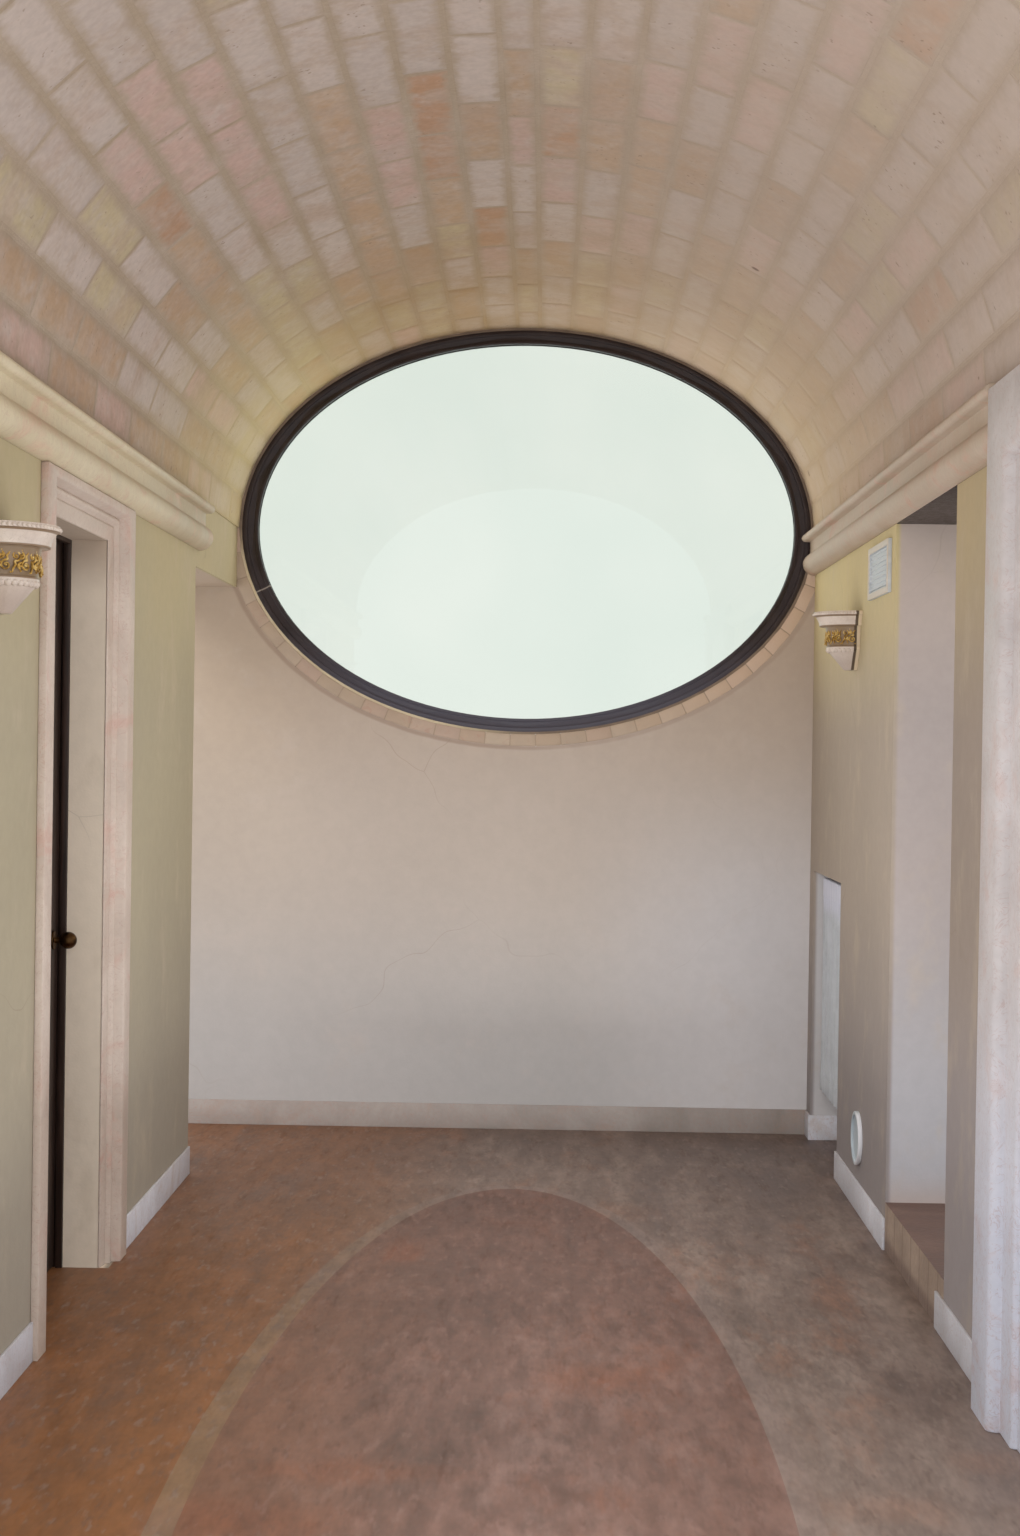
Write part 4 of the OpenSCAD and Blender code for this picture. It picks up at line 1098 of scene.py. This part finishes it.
def add_light():
    """A pale surround that the glass shows too, soft lamps down the hall, two lamps outside."""
    world = bpy.data.worlds.new("studio")
    bpy.context.scene.world = world
    world.use_nodes = True
    world.node_tree.nodes.clear()
    w = Nodes(world.node_tree)
    rays = w.add("ShaderNodeLightPath").outputs
    seen = w.math("MAXIMUM", rays["Is Camera Ray"], rays["Is Transmission Ray"])
    soft = w.out("ShaderNodeBackground", {"Color": (0.97, 0.98, 1.0, 1.0), "Strength": 0.85})
    white = w.out("ShaderNodeBackground", {"Color": (0.985, 0.99, 0.985, 1.0), "Strength": 1.0})
    w.add("ShaderNodeOutputWorld", {0: w.out("ShaderNodeMixShader", {0: seen, 1: soft, 2: white})})
    plain_white = (1.0, 1.0, 1.0)
    cool = (0.94, 0.97, 1.0)
    cooler = (0.88, 0.94, 1.0)
    high = ((-5.0, 15.0), (-4.0, 11.0), (-3.0, 8.5), (-2.0, 7.0), (-1.2, 6.0))
    low = ((-5.7, 6.0), (-4.5, 13.0), (-3.3, 9.0), (-2.2, 5.0), (-1.1, 4.5))
    for i, (y, power) in enumerate(high):
        add_lamp(f"hall_fill_{i}", "POINT", (0.0, y, 1.75), power, cool, radius=0.45)
    for i, (y, power) in enumerate(low):
        add_lamp(f"low_fill_{i}", "POINT", (0.0, y, 0.55), power, cooler, radius=0.35)
    add_lamp("vault_fill", "AREA", (0.0, -2.6, 0.4), 14.0, cool, (0.0, -2.6, 3.0), (1.3, 4.6))
    add_lamp("end_fill", "AREA", (0.15, -2.6, 1.2), 7.5, cool, (0.2, 0.0, 0.9), (1.6, 1.0))
    add_lamp("front_sun", "SUN", (0.0, -9.0, 3.0), 1.5, cool, (0.0, 0.0, 1.7))
    daylight = add_lamp("window_fill", "AREA", (0.0, 0.003, SPRING), 13.0, (1.0, 0.98, 0.88),
                        (0.0, -2.0, SPRING), (2.2, 1.52))
    daylight.data.shape = "ELLIPSE"
    for name, place, power in (("outer_key", (-7.0, -7.0, 8.0), 560.0),
                               ("outer_back", (6.0, 7.0, 7.0), 380.0)):
        add_lamp(name, "AREA", place, power, plain_white, (0.0, -2.6, 1.5), (5.0, 5.0))


def add_stage():
    f = Finish("pale_studio_floor")
    body = f.tones(f.noise(0.6, 2.0), (0.80, 0.80, 0.79, 1.0), (0.83, 0.83, 0.82, 1.0))
    mesh = bpy.data.meshes.new("studio_floor")
    side = 40.0
    level = -0.002
    mesh.from_pydata([(-side, -side, level), (side, -side, level), (side, side, level),
                      (-side, side, level)], [], [(0, 1, 2, 3)])
    mesh.materials.append(f.close(body, 0.9))
    new_object("studio_floor", mesh)


# ---- Putting it together ----

bpy.context.scene.view_settings.view_transform = "Standard"
add_camera()
add_light()
add_stage()

pink_stain = (192, 152, 138)
# The portal's cooler foot colour is painted cool light.
portal_stone = pale_stone("whitish_portal_stone", (178, 169, 167), (190, 182, 180),
                          (202, 195, 194), pink_stain, 0.35, foot=(208, 211, 224))
trim_stone = pale_stone("pinkish_trim_stone", (180, 163, 149), (193, 176, 162),
                        (202, 187, 174), pink_stain, 0.6)
cornice_stone = pale_stone("tan_cornice_stone", (168, 149, 128), (179, 161, 142),
                           (187, 170, 153), (186, 147, 128), 0.8)
# The left cornice's duller colour by the end wall is painted shade.
left_cornice_stone = pale_stone("light_cornice_stone", (187, 172, 142), (200, 186, 157),
                                (208, 195, 168), (199, 164, 141), 0.8, end=(181, 167, 141))
skirting_stone = pale_stone("greyish_skirting_stone", (144, 134, 126), (156, 145, 138),
                            (168, 158, 151), (160, 140, 128), 0.5)
side_skirting_stone = pale_stone("pale_skirting_stone", (186, 184, 187), (199, 197, 202),
                                 (210, 209, 214), (180, 160, 148), 0.5)
wood = dark_wood()
metal = bronze()
paint_dark = frame_paint()
pointing = mortar()
ring_finish = ring_stone()

plain = {
    "floor_slab": slab(),
    "floor_screed": polished_floor("polished_floor_field", (92, 73, 64), (118, 99, 89),
                                   (142, 124, 113), (142, 96, 70), (132, 79, 28), 3.0, 0.25),
    "floor_border": polished_floor("polished_floor_border", (106, 87, 79), (123, 104, 95),
                                   (141, 122, 112), (136, 103, 85), (131, 97, 63), 4.0, 0.3),
    "floor_inlay": polished_floor("polished_floor_inlay", (90, 63, 53), (114, 82, 70),
                                  (134, 104, 93), (130, 78, 52), (125, 85, 62), 3.6, 0.5),
    "end_wall": end_plaster(),
    "gable": end_plaster(),
    "vault_cover": outer_render(),
    "mortar_bed": shadow_joint(),
    "window_glass": clear_glass(),
    "doorway_step": step_tile(),
}
walls = wall_plaster()
for node_name in NODES:
    if "_wall_" in node_name:
        plain[node_name] = walls
    if node_name.startswith("vault_") and node_name != "vault_cover":
        plain[node_name] = pointing
for node_name, material in plain.items():
    NODES[node_name].data.materials[0] = material

add_vault_blocks(vault_stone())

ring_tones = random.Random(3)
for half in ("lower", "upper"):
    worn_copy("oval_ring_" + half, "ring_stones_" + half, 0.002, ring_finish, "ring_stone",
              tones=ring_tones)
new_piece("ring_pointing", oval_band("ring_pointing", [
    (0.001, 0.0015), (RING_W - 0.001, 0.0015), (RING_W - 0.001, END_T - 0.002),
    (0.001, END_T - 0.002)]), ring_mortar(), "mortar")

# Node, the piece that stands for it, arris, finish, material slot and the leaf's body
for row in (
        ("window_frame", "oval_frame", 0.002, paint_dark, "frame_steel"),
        ("glazing_bead", "oval_bead", 0.0015, paint_dark, "frame_steel"),
        ("cornice_left", "cornice_left_stone", 0.003, left_cornice_stone, "pale_stone"),
        ("cornice_right", "cornice_right_stone", 0.003, cornice_stone, "pale_stone"),
        ("door_trim", "door_trim_stone", 0.003, trim_stone, "pale_stone"),
        ("portal_trim", "portal_trim_stone", 0.003, portal_stone, "pale_stone"),
        ("skirting_left", "skirting_left_stone", 0.002, side_skirting_stone, "pale_stone"),
        ("skirting_right", "skirting_right_stone", 0.002, side_skirting_stone, "pale_stone"),
        ("skirting_end", "skirting_end_stone", 0.002, skirting_stone, "pale_stone"),
        ("doorway_lintel", "doorway_lintel_wood", 0.002, wood, "dark_wood"),
        ("door_frame", "door_frame_wood", 0.002, wood, "dark_wood"),
        ("door_leaf", "door_leaf_wood", 0.0025, wood, "dark_wood", DOOR),
        ("jamb_hinges", "hinge_jamb_halves", 0.0006, metal, "bronze"),
        ("leaf_hinges", "hinge_leaf_halves", 0.0006, metal, "bronze", DOOR),
        ("door_knob", "knob_pair", 0.0008, metal, "bronze", DOOR),
        ("radiator", "column_radiator", 0.004, radiator_enamel(), "white_enamel"),
        ("vent_grille", "framed_grille", 0.0015, grille_enamel(), "white_enamel"),
        ("round_vent", "round_vent_cover", 0.002, vent_enamel(), "white_enamel")):
    worn_copy(*row)

ceramic = lamp_ceramic()
gilding = old_gilding()
for side, node_name, place_y in ((-1.0, "wall_lamp_left", LAMP_LEFT_Y),
                                 (1.0, "wall_lamp_right", LAMP_RIGHT_Y)):
    worn_copy(node_name, node_name + "_bowl", 0.001, ceramic, "lamp_ceramic")
    add_lamp_ornament(node_name, side, place_y, ceramic, gilding)
